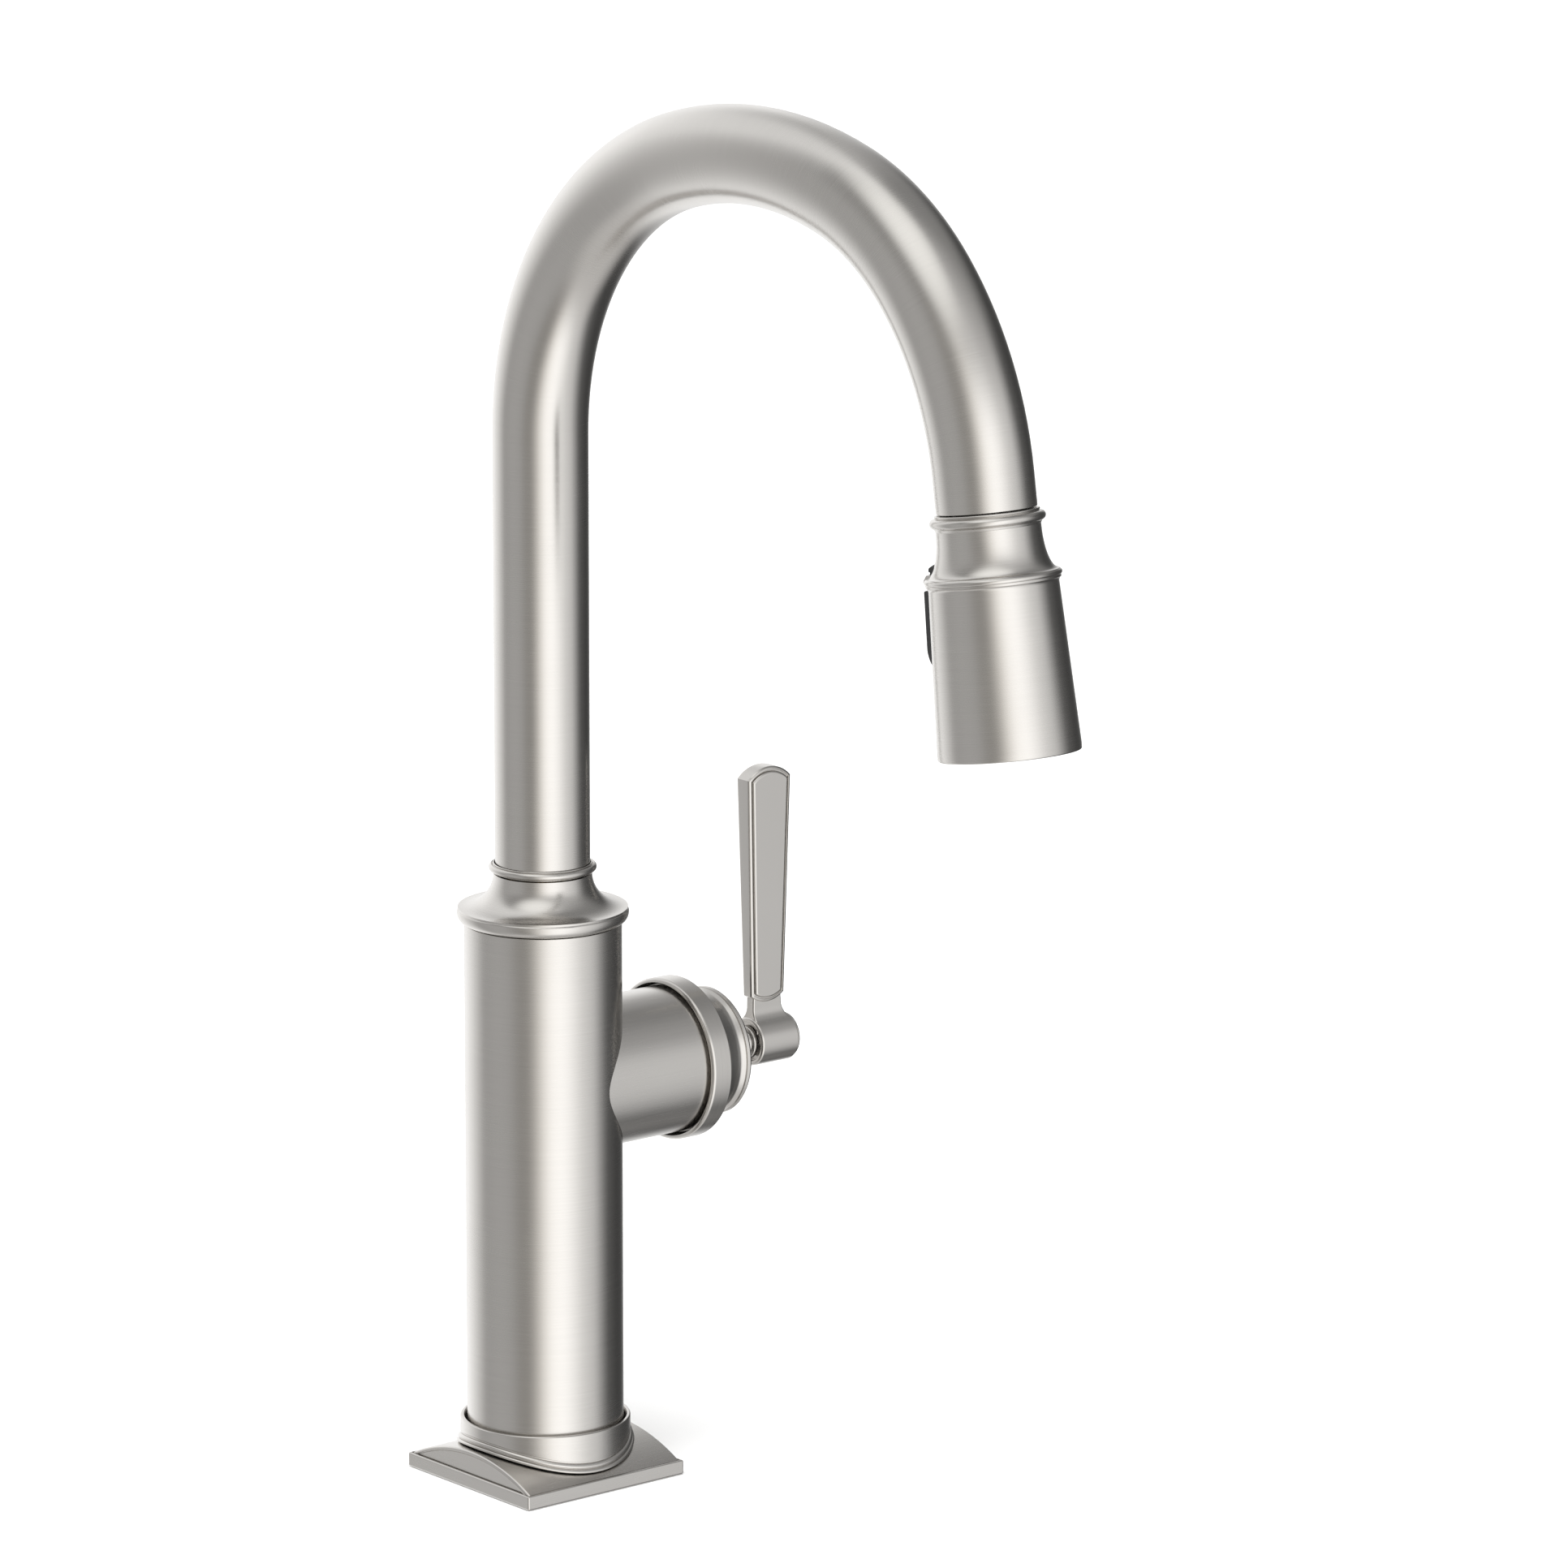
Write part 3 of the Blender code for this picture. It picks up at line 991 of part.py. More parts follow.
def lever_handle():
    """Barrel, neck and paddle in one piece."""
    barrel = [(BARREL_RADIUS - BARREL_CHAMFER, BARREL_END),
              (BARREL_RADIUS, BARREL_END - BARREL_CHAMFER),
              (BARREL_RADIUS, BARREL_START + 0.5 * MM), (BARREL_RADIUS - 0.5 * MM, BARREL_START),
              (STEM_DISC_RADIUS + 1.0 * MM, BARREL_START),
              (STEM_DISC_RADIUS + 1.0 * MM, BARREL_START + BARREL_RECESS),
              (STEM_RADIUS + GAP, BARREL_START + BARREL_RECESS),
              (STEM_RADIUS + GAP, BARREL_END)]
    handle = turned("lever_handle", barrel, MEDIUM, NICKEL, HUB_FRAME)
    upright = Matrix.Translation((PADDLE_CENTRE, 0, 0)) @ Matrix.Rotation(math.pi / 2, 4, "X")
    # Neck: a flat blade that flares into the barrel.
    neck_foot = HUB_HEIGHT + BARREL_RADIUS - 2.2 * MM
    half_low, half_high = (BARREL_END - BARREL_START) / 2 - 1 * MM, LEVER_NECK_WIDTH / 2
    flare = quarter((half_low, neck_foot), (half_high, neck_foot + 7 * MM), 4, False)
    shift = (BARREL_START + BARREL_END) / 2 - PADDLE_CENTRE
    right = [(x + shift * (x - half_high) / (half_low - half_high), z) for x, z in flare]
    left = [(-x + shift * (x - half_high) / (half_low - half_high), z) for x, z in flare]
    top = PADDLE_FOOT + 2 * MM
    outline = right + [(half_high, top), (-half_high, top)] + left[::-1]
    combine(handle, slab("lever_neck", outline, LEVER_NECK_DEPTH, None, upright), "UNION")
    # Paddle: wider and deeper towards its arched top.
    crown = [(x, PADDLE_TOP + z) for x, z in arch(PADDLE_TOP_WIDTH / 2, PADDLE_ARCH, 6)]
    foot = [(x, PADDLE_FOOT - z) for x, z in arch(PADDLE_FOOT_WIDTH / 2, PADDLE_FOOT_ARCH, 6)]
    paddle = slab("lever_paddle", crown + foot[::-1], PADDLE_TOP_DEPTH, None, upright)
    share = (PADDLE_TOP_DEPTH - PADDLE_FOOT_DEPTH) / PADDLE_TOP_DEPTH
    for vertex in paddle.data.vertices:
        drop = (PADDLE_TOP - vertex.co.y) / (PADDLE_TOP - PADDLE_FOOT)
        vertex.co.z *= 1 - share * max(0, drop)
    bevel = paddle.modifiers.new("Edges", "BEVEL")
    bevel.width = 0.6 * MM
    bevel.segments = 1
    bevel.limit_method = "ANGLE"
    combine(handle, paddle, "UNION")
    screw_hole = rod("screw_hole", SET_SCREW_RADIUS + GAP, -BARREL_RADIUS - 1 * MM, 0, 12,
                     None, set_screw_frame())
    combine(handle, screw_hole, "DIFFERENCE")


def set_screw_frame():
    """Local Z runs up through the barrel, and its zero is on the hub's axis."""
    return Matrix.Translation(((BARREL_START + BARREL_END) / 2 + 1 * MM, 0, HUB_HEIGHT))


def lever_fasteners():
    top = -STEM_RADIUS - GAP
    low = top - SET_SCREW_LENGTH
    screw = rod("lever_set_screw", SET_SCREW_RADIUS, low, top, 12, STEEL, set_screw_frame())
    combine(screw, rod("hex_socket", 0.8 * MM, low - 1 * MM, low + 1.6 * MM, 6, None,
                       set_screw_frame()), "DIFFERENCE")
    back = BARREL_END + GAP
    outline = [(0, END_CAP_END), (END_CAP_RADIUS - 1.4 * MM, END_CAP_END),
               (END_CAP_RADIUS, END_CAP_END - 0.7 * MM), (END_CAP_RADIUS, back),
               (STEM_RADIUS - GAP, back), (STEM_RADIUS - GAP, STEM_END + GAP),
               (0, STEM_END + GAP)]
    turned("lever_end_cap", outline, MEDIUM, NICKEL, HUB_FRAME)


def build():
    for make in (base_plate, base_gasket, base_ring, shank_insert, body_shell, top_collar,
                 swivel_bearings, spout_tube, spout_ring, swivel_sleeve, spout_o_rings,
                 dock, spray_hose, head_collar, dock_ring, hose_fittings, head_shell,
                 spray_button, check_valve, waterway, diverter, outlet_face, valve_body,
                 supply_tubes, cartridge, hub, stem, lever_handle, lever_fasteners):
        make()


build()
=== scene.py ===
"""Looks of the pull down kitchen faucet: fine surfaces, finishes, floor, light and camera.

Outlines are in millimetres, as (radius, height) about the axis of the frame they are
turned in, and become metres when they are built. -Y is the outlet's side of the column
and +X is the lever's side.
"""

import json
import math

import bmesh
import bpy
from mathutils import Matrix, Vector


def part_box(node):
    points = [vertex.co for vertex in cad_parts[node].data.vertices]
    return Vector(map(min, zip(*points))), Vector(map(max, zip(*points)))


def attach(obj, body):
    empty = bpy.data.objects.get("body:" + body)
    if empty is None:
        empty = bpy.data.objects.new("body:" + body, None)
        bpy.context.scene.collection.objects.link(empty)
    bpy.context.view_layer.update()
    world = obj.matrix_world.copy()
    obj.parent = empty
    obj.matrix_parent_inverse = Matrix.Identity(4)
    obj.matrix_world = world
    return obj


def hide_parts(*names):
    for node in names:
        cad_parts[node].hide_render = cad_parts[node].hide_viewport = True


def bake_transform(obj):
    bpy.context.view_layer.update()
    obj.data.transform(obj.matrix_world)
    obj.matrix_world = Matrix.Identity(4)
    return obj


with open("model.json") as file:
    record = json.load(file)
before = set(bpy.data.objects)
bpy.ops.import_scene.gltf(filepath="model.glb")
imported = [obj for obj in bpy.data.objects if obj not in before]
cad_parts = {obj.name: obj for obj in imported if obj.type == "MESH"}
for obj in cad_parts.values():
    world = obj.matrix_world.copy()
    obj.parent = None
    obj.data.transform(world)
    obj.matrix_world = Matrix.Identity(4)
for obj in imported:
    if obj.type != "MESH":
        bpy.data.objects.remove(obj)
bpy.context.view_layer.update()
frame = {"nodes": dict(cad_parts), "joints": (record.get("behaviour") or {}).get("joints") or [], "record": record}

MM = 0.001
SIDES = 160                     # facets round a turned piece
SMALL_SIDES = 72                # facets round a small one
CYLINDER_SIDES = 192            # facets round the column and its neck
CUTTER_SIDES = 96               # facets round what bores them out
ARC_STEP = math.radians(10)     # longest turn of one facet of a rounded edge
SHARP = math.radians(34)        # edges that turn more than this stay crisp
WELD = 0.003                    # millimetres within which a Boolean's points are one
PLAY = 0.3                      # between pieces that meet, so that neither shows through
# A box's corners, numbered with z changing fastest, then y, then x.
BOX_FACES = ([0, 1, 3, 2], [4, 6, 7, 5], [0, 4, 5, 1], [2, 3, 7, 6], [0, 2, 6, 4], [1, 5, 7, 3])

JOINTS = {joint["name"]: joint for joint in frame["joints"]}
SLOT_OF = {part["node"]: part["material_slot"] for part in frame["record"]["subparts"]}
HUB_HEIGHT = JOINTS["temperature_turn"]["pos_m"][2] / MM
BALL_POSITION = JOINTS["flow_tilt"]["pos_m"][0] / MM
COLUMN_FRAME = Matrix.Identity(4)
HUB_FRAME = Matrix.Translation((0, 0, HUB_HEIGHT * MM)) @ Matrix.Rotation(math.pi / 2, 4, "Y")

# Gooseneck: a straight rise, then arcs that each have a radius and an end in degrees
# from upright.
TUBE_RADIUS = 14.43
TUBE_WALL = 1.2
STRAIGHT_TOP = 323.97
GOOSENECK_ARCS = ((94.3, 74.2), (129.9, 106.9), (81.6, 136.3), (97.2, 171.1))
MOUTH_DEPTH = 9.4               # straight stretch past the last arc


# ---- Outlines ----

def rounded(corners):
    """Points of an outline of (x, y, fillet) corners, each rounded by its fillet."""
    path = []
    count = len(corners)
    for i, (x, y, fillet) in enumerate(corners):
        here = Vector((x, y))
        if not fillet:
            path.append((x, y))
            continue
        before = (Vector(corners[i - 1][:2]) - here).normalized()
        after = (Vector(corners[(i + 1) % count][:2]) - here).normalized()
        turn = math.pi - before.angle(after)
        centre = here + (before + after).normalized() * fillet / math.cos(turn / 2)
        first = here + before * fillet * math.tan(turn / 2) - centre
        side = 1 if before.cross(after) < 0 else -1
        steps = max(2, math.ceil(turn / ARC_STEP))
        for k in range(steps + 1):
            spun = Matrix.Rotation(side * turn * k / steps, 2) @ first
            path.append((centre.x + spun.x, centre.y + spun.y))
    return path


def arc(centre, radii, start, end, steps=None):
    """Unfilleted corners along an ellipse's arc between two angles in degrees."""
    steps = steps or max(3, round(abs(end - start) / 8))
    turns = [math.radians(start + (end - start) * k / steps) for k in range(steps + 1)]
    return [(centre[0] + radii[0] * math.cos(a), centre[1] + radii[1] * math.sin(a), 0)
            for a in turns]


# ---- Meshes ----

def new_object(name, verts, faces, grain=None):
    """Object from points in metres, its faces turned outward; grain gives each point its brushing place."""
    mesh = bpy.data.meshes.new(name)
    mesh.from_pydata(verts, [], faces)
    if grain:
        places = mesh.attributes.new("grain", "FLOAT_VECTOR", "POINT")
        places.data.foreach_set("vector", [c for place in grain for c in place])
    tidy = bmesh.new()
    tidy.from_mesh(mesh)
    bmesh.ops.recalc_face_normals(tidy, faces=tidy.faces)
    tidy.to_mesh(mesh)
    tidy.free()
    obj = bpy.data.objects.new(name, mesh)
    bpy.context.scene.collection.objects.link(obj)
    return obj


def lathe(name, outline, axis=COLUMN_FRAME, sides=SIDES, shift=None):
    """Turned piece from a closed outline; shift(angle, radius, height) lifts its points."""
    rings, verts, grain = [], [], []
    length = 0
    for i, (radius, height) in enumerate(outline):
        if i:
            length += math.dist(outline[i - 1], (radius, height))
        count = 1 if radius < 1e-6 else sides
        rings.append(range(len(verts), len(verts) + count))
        for k in range(count):
            turn = math.tau * k / sides
            lift = shift(turn, radius, height) if shift else 0
            around = Vector((radius * math.cos(turn), radius * math.sin(turn)))
            verts.append(axis @ Vector((*(around * MM), (height + lift) * MM)))
            grain.append((*(around * MM), length * MM))
    faces = []
    for low, high in zip(rings, rings[1:] + rings[:1]):
        if len(low) == len(high) == 1:
            continue
        for k in range(sides):
            corners = [low[k % len(low)], low[(k + 1) % len(low)],
                       high[(k + 1) % len(high)], high[k % len(high)]]
            faces.append(list(dict.fromkeys(corners)))
    return new_object(name, verts, faces, grain)


def loft(name, sections):
    """Piece through sections of the same number of points; its ends are filled."""
    count = len(sections[0])
    verts = [Vector(p) * MM for section in sections for p in section]
    faces = []
    for i in range(len(sections) - 1):
        a, b = i * count, (i + 1) * count
        for k in range(count):
            n = (k + 1) % count
            faces.append([a + k, a + n, b + n, b + k])
    faces.append(list(range(count)))
    faces.append([len(verts) - count + k for k in range(count)])
    return new_object(name, verts, faces)


def applied(obj):
    """Makes what the object's modifiers do part of its mesh."""
    bpy.context.view_layer.update()
    graph = bpy.context.evaluated_depsgraph_get()
    mesh = bpy.data.meshes.new_from_object(obj.evaluated_get(graph))
    obj.modifiers.clear()
    obj.data = mesh


def welded(mesh):
    """Joins points that nearly coincide and dissolves slivers, which Booleans leave."""
    tidy = bmesh.new()
    tidy.from_mesh(mesh)
    bmesh.ops.remove_doubles(tidy, verts=tidy.verts, dist=WELD)
    bmesh.ops.dissolve_degenerate(tidy, edges=tidy.edges, dist=WELD)
    tidy.to_mesh(mesh)
    tidy.free()


def combined(obj, other, operation):
    """Applies a Boolean of obj with other, in millimetres, and removes other."""
    for each in (obj, other):
        each.data.transform(Matrix.Scale(1 / MM, 4))
    modifier = obj.modifiers.new("Boolean", "BOOLEAN")
    modifier.operation = operation
    modifier.solver = "EXACT"
    modifier.object = other
    applied(obj)
    welded(obj.data)
    obj.data.transform(Matrix.Scale(MM, 4))
    bpy.data.objects.remove(other)


def box_object(name, low, high, axis=COLUMN_FRAME):
    """A box between two corners in millimetres."""
    corners = [(x, y, z) for x in (low[0], high[0]) for y in (low[1], high[1])
               for z in (low[2], high[2])]
    return new_object(name, [axis @ (Vector(c) * MM) for c in corners], BOX_FACES)


def bevelled(obj, width, segments):
    """Rounds the object's edges."""
    modifier = obj.modifiers.new("Bevel", "BEVEL")
    modifier.width = width * MM
    modifier.segments = segments
    modifier.limit_method = "ANGLE"
    applied(obj)
    return obj


def face_grain(obj, fine):
    """Gives each face its brushing place; fine(normal) names the axis across the lines."""
    mesh = obj.data
    if "grain" in mesh.attributes:
        mesh.attributes.remove(mesh.attributes["grain"])
    places = mesh.attributes.new("grain", "FLOAT_VECTOR", "CORNER")
    for polygon in mesh.polygons:
        across = fine(polygon.normal)
        order = [i for i in range(3) if i != across] + [across]
        for corner in polygon.loop_indices:
            point = mesh.vertices[mesh.loops[corner].vertex_index].co
            places.data[corner].vector = [point[i] for i in order]


def shown(obj, body, finish, *nodes, sharp=SHARP):
    """Finishes a piece: shading, material, the body it rides on and what it stands for."""
    obj.data.materials.clear()
    obj.data.materials.append(finish)
    obj.data.shade_smooth()
    obj.data.set_sharp_from_angle(angle=sharp)
    normals = obj.modifiers.new("Normals", "WEIGHTED_NORMAL")
    normals.keep_sharp = True
    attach(obj, body)
    if nodes:
        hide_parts(*nodes)


# ---- Materials ----

class Shader:
    """A Principled material and short ways to add nodes to it."""

    def __init__(self, name, colour, metallic, roughness):
        self.material = bpy.data.materials.new(name)
        self.material.use_nodes = True
        self.nodes = self.material.node_tree.nodes
        self.main = self.nodes["Principled BSDF"]
        self.main.inputs["Base Color"].default_value = (*colour, 1)
        self.main.inputs["Metallic"].default_value = metallic
        self.main.inputs["Roughness"].default_value = roughness
        self.colour = colour

    def link(self, source, target):
        self.material.node_tree.links.new(source, target)

    def place(self, scale, attribute=None):
        """Object coordinates, or a mesh attribute, scaled per axis in 1/metre."""
        mapping = self.nodes.new("ShaderNodeMapping")
        mapping.inputs["Scale"].default_value = scale
        if attribute:
            source = self.nodes.new("ShaderNodeAttribute")
            source.attribute_name = attribute
            self.link(source.outputs["Vector"], mapping.inputs["Vector"])
        else:
            source = self.nodes.new("ShaderNodeTexCoord")
            self.link(source.outputs["Object"], mapping.inputs["Vector"])
        return mapping.outputs["Vector"]

    def noise(self, place, detail=2.0, roughness=0.5):
        made = self.nodes.new("ShaderNodeTexNoise")
        made.inputs["Scale"].default_value = 1.0
        made.inputs["Detail"].default_value = detail
        made.inputs["Roughness"].default_value = roughness
        self.link(place, made.inputs["Vector"])
        return made.outputs["Fac"]

    def ranged(self, value, low, high, start=0.3, end=0.7):
        """The value's stretch from start to end becomes low to high."""
        made = self.nodes.new("ShaderNodeMapRange")
        for key, number in zip(("From Min", "From Max", "To Min", "To Max"),
                               (start, end, low, high)):
            made.inputs[key].default_value = number
        self.link(value, made.inputs["Value"])
        return made.outputs["Result"]

    def math(self, operation, a, b):
        made = self.nodes.new("ShaderNodeMath")
        made.operation = operation
        for socket, value in zip(made.inputs, (a, b)):
            if isinstance(value, (int, float)):
                socket.default_value = value
            else:
                self.link(value, socket)
        return made.outputs["Value"]

    def tinted(self, factor, dark, light):
        """Colour from dark times the base colour to light times it."""
        made = self.nodes.new("ShaderNodeMix")
        made.data_type = "RGBA"
        made.inputs["A"].default_value = (*(min(c * dark, 1) for c in self.colour), 1)
        made.inputs["B"].default_value = (*(min(c * light, 1) for c in self.colour), 1)
        self.link(factor, made.inputs["Factor"])
        self.link(made.outputs["Result"], self.main.inputs["Base Color"])

    def bump(self, height, strength, distance):
        made = self.nodes.new("ShaderNodeBump")
        made.inputs["Strength"].default_value = strength
        made.inputs["Distance"].default_value = distance
        self.link(height, made.inputs["Height"])
        self.link(made.outputs["Normal"], self.main.inputs["Normal"])


# Brushing, in noise cells per metre: along the lines twice, then across them.
HAIR_SCALE = (70, 70, 6500)
BAND_SCALE = (16, 16, 1900)
SMUDGE_SCALE = (28, 28, 28)
HAIR_SHARE = 0.7                # of the tint; the wider bands have the rest


def brushed_metal(name, colour, roughness):
    """Metal with fine brushed lines, which run where the grain attribute says."""
    shader = Shader(name, colour, 1.0, roughness)
    hair = shader.noise(shader.place(HAIR_SCALE, "grain"), detail=3, roughness=0.65)
    band = shader.noise(shader.place(BAND_SCALE, "grain"), detail=2)
    smudge = shader.noise(shader.place(SMUDGE_SCALE), detail=3)
    lines = shader.math("ADD", shader.math("MULTIPLY", hair, HAIR_SHARE),
                        shader.math("MULTIPLY", band, 1 - HAIR_SHARE))
    shader.tinted(shader.ranged(lines, 0, 1), 0.965, 1.03)
    rough = shader.math("ADD", shader.ranged(hair, -0.025, 0.025),
                        shader.ranged(smudge, roughness - 0.02, roughness + 0.02))
    shader.link(rough, shader.main.inputs["Roughness"])
    shader.bump(hair, 0.045, 0.02 * MM)
    return shader.material


def moulded_plastic(name, colour, roughness, grain_scale=2600):
    """Moulded plastic or rubber: a fine pitted skin with slight colour variation."""
    shader = Shader(name, colour, 0.0, roughness)
    pits = shader.noise(shader.place((grain_scale,) * 3), detail=2)
    cloud = shader.noise(shader.place((60, 60, 60)), detail=3)
    shader.tinted(shader.ranged(cloud, 0, 1), 0.9, 1.1)
    rough = shader.ranged(pits, roughness - 0.05, roughness + 0.06)
    shader.link(rough, shader.main.inputs["Roughness"])
    shader.bump(pits, 0.3, 0.04 * MM)
    return shader.material


def machined_metal(name, colour, roughness):
    """Turned or drawn metal on the inner pieces: faint lines and tarnish."""
    shader = Shader(name, colour, 1.0, roughness)
    lines = shader.noise(shader.place((120, 120, 2400)), detail=2)
    tarnish = shader.noise(shader.place((70, 70, 70)), detail=4, roughness=0.6)
    shader.tinted(shader.ranged(tarnish, 0, 1), 0.82, 1.08)
    rough = shader.math("ADD", shader.ranged(lines, -0.06, 0.06),
                        shader.ranged(tarnish, roughness + 0.05, roughness - 0.03))
    shader.link(rough, shader.main.inputs["Roughness"])
    shader.bump(lines, 0.3, 0.02 * MM)
    return shader.material


def braided(name, colour, roughness):
    """Woven sleeve of the hose: crossed slanting strands."""
    shader = Shader(name, colour, 0.25, roughness)
    waves = []
    for turn in (35, -35):
        mapping = shader.nodes.new("ShaderNodeMapping")
        mapping.inputs["Rotation"].default_value = (math.radians(turn), 0, 0)
        coordinates = shader.nodes.new("ShaderNodeTexCoord")
        shader.link(coordinates.outputs["Object"], mapping.inputs["Vector"])
        wave = shader.nodes.new("ShaderNodeTexWave")
        wave.inputs["Scale"].default_value = 190
        wave.bands_direction = "Z"
        shader.link(mapping.outputs["Vector"], wave.inputs["Vector"])
        waves.append(wave.outputs["Fac"])
    weave = shader.math("MAXIMUM", *waves)
    wear = shader.noise(shader.place((90, 90, 90)), detail=3)
    shader.tinted(weave, 0.35, 1.25)
    shader.link(shader.ranged(wear, roughness - 0.08, roughness + 0.08),
                shader.main.inputs["Roughness"])
    shader.bump(weave, 0.8, 0.25 * MM)
    return shader.material


NICKEL = brushed_metal("brushed_nickel", (0.64, 0.622, 0.598), 0.25)
STEEL = machined_metal("steel", (0.62, 0.62, 0.61), 0.26)
BRASS = machined_metal("brass", (0.78, 0.58, 0.28), 0.30)
COPPER = machined_metal("copper", (0.80, 0.46, 0.32), 0.30)
MAGNET = machined_metal("magnet", (0.20, 0.20, 0.21), 0.42)
BLACK_PLASTIC = moulded_plastic("black_plastic", (0.018, 0.018, 0.019), 0.42)
GREY_PLASTIC = moulded_plastic("grey_plastic", (0.36, 0.36, 0.35), 0.48)
WHITE_PLASTIC = moulded_plastic("white_plastic", (0.80, 0.80, 0.78), 0.42)
CERAMIC = moulded_plastic("ceramic", (0.86, 0.84, 0.80), 0.18, 900)
RUBBER = moulded_plastic("rubber", (0.035, 0.035, 0.037), 0.68, 1500)
BRAID = braided("hose_braid", (0.42, 0.43, 0.44), 0.48)
FINISHES = {
    "brushed_nickel": NICKEL, "steel": STEEL, "brass": BRASS, "copper": COPPER,
    "magnet": MAGNET, "black_plastic": BLACK_PLASTIC, "grey_plastic": GREY_PLASTIC,
    "white_plastic": WHITE_PLASTIC, "ceramic": CERAMIC, "rubber": RUBBER,
    "hose_braid": BRAID,
}
for node, slot_name in SLOT_OF.items():
    mesh = frame["nodes"][node].data
    mesh.materials.clear()
    mesh.materials.append(FINISHES[slot_name])


# ---- Base plate and its ring ----

COLUMN_RADIUS = 24.0
COLUMN_WALL = 3.0

PLATE_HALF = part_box("base_plate")[1].x / MM
PLATE_EDGE = 4.4                # thickness of the square slab
PLATE_BEVEL = 0.55
VAULT_HALF = PLATE_HALF - 1.0
VAULT_RISE = 7.0
VAULT_TOP = PLATE_EDGE + VAULT_RISE
VAULT_CURVE = (VAULT_HALF**2 + VAULT_RISE**2) / (2 * VAULT_RISE)
VAULT_ROOT = 1.5                # how far the vault goes down into the slab
# Border of the vault's ends: how far in from its edge, and back from its end plane.
VAULT_BORDER = ((0.0, 0.75), (0.08, 0.4), (0.3, 0.12), (0.6, 0.0), (0.85, 0.0), (0.95, 0.3),
                (1.2, 0.3), (1.35, 0.1))
CHANNEL = 0.35                  # width and depth of the crevice round the vault's foot
GASKET_GROOVE = (22.0, 27.0, 2.0)       # inner and outer radius, and depth
PLATE_BORE = 16.3


def vault_drop(y):
    """How far the vault's surface lies below its crown at a distance y from it."""
    return VAULT_CURVE - math.sqrt(max(VAULT_CURVE**2 - y**2, 0))


def vault_section(inset, steps=64):
    """(y, z) points round the vault's end, drawn in from its edge by inset."""
    half = VAULT_HALF - inset
    radius = VAULT_CURVE - inset
    crown = [(y, VAULT_TOP - VAULT_CURVE + math.sqrt(radius**2 - y**2))
             for y in (half * (2 * k / steps - 1) for k in range(steps + 1))]
    foot = PLATE_EDGE - VAULT_ROOT
    return [(half, foot), (-half, foot)] + crown


def base_plate():
    half, wide = PLATE_HALF, VAULT_HALF + CHANNEL
    slab = box_object("base_plate_fine", (-half, -half, 0), (half, half, PLATE_EDGE))
    plate = bevelled(slab, PLATE_BEVEL, 4)
    combined(plate, box_object("channel", (-wide, -wide, PLATE_EDGE - CHANNEL),
                               (wide, wide, PLATE_EDGE + 1)), "DIFFERENCE")
    ends = [(-1, layer) for layer in reversed(VAULT_BORDER)]
    ends += [(1, layer) for layer in VAULT_BORDER]
    vault = loft("vault", [[(side * (VAULT_HALF - back), y, z) for y, z in vault_section(inset)]
                           for side, (inset, back) in ends])
    combined(plate, vault, "UNION")
    top = VAULT_TOP + 2.6
    combined(plate, lathe("bore", [(0, -1), (PLATE_BORE, -1), (PLATE_BORE, top), (0, top)]),
             "DIFFERENCE")
    inner, outer, deep = GASKET_GROOVE
    combined(plate, lathe("groove", [(inner, -1), (outer, -1), (outer, deep), (inner, deep)]),
             "DIFFERENCE")
    face_grain(plate, lambda normal: 1 if abs(normal.z) > 0.7 else 2)
    shown(plate, "fixed_base", NICKEL, "base_plate", sharp=math.radians(26))


def base_ring():
    """A band with a rounded lip, and a double bead at its foot that follows the vault."""
    inner, outer = COLUMN_RADIUS + PLAY, 26.1
    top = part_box("base_ring")[1].z / MM
    foot = VAULT_TOP + PLAY
    band_foot = foot + 3.2
    corners = [(inner, top - 1.6, 0), (inner + 0.5, top - 0.5, 0.3), (inner + 0.75, top, 0.2),
               (outer, top, 0.5), (outer, band_foot, 0.25), (outer - 0.35, foot + 2.95, 0.1),
               (outer - 0.3, foot + 2.6, 0),
               *arc((outer - 0.15, foot + 1.9), (0.85, 0.72), 80, -62),
               (outer + 0.25, foot + 1.15, 0.1),
               *arc((outer + 0.55, foot + 0.6), (0.6, 0.5), 75, -80),
               (outer - 0.3, foot, 0), (inner, foot, 0)]

    def saddle(turn, radius, height):
        share = min(max((band_foot + 0.2 - height) / 0.2, 0), 1)
        return -share * vault_drop(radius * math.sin(turn))

    shown(lathe("base_ring_fine", rounded(corners), shift=saddle), "fixed_base", NICKEL,
          "base_ring")


# ---- Column with its side neck ----

NECK_RADIUS = 22.8
NECK_END = 50.0                 # from the column's axis


def column_normals(mesh):
    """Exact normals on the two cylinders, so the seam between them shades cleanly."""
    centre = Vector((0, 0, HUB_HEIGHT * MM))
    normals = [corner.vector.copy() for corner in mesh.corner_normals]
    for polygon in mesh.polygons:
        middle, facing = polygon.center, polygon.normal
        outward = Vector((middle.x, middle.y, 0)).normalized()
        sideways = Vector((0, *(middle - centre).yz)).normalized()
        on_column = facing.dot(outward) > 0.999 and abs(facing.z) < 0.01
        on_neck = facing.dot(sideways) > 0.999 and middle.x > 5 * MM and abs(facing.x) < 0.01
        for corner in polygon.loop_indices:
            point = mesh.vertices[mesh.loops[corner].vertex_index].co
            if on_column:
                normals[corner] = Vector((point.x, point.y, 0)).normalized()
            elif on_neck:
                normals[corner] = Vector((0, *(point - centre).yz)).normalized()
    mesh.normals_split_custom_set([tuple(n) for n in normals])


def bored(shell, name, radius, low, high, axis=COLUMN_FRAME):
    """Cuts a round hole along the axis, between two heights."""
    outline = [(0, low), (radius, low), (radius, high), (0, high)]
    combined(shell, lathe(name, outline, axis, CUTTER_SIDES), "DIFFERENCE")


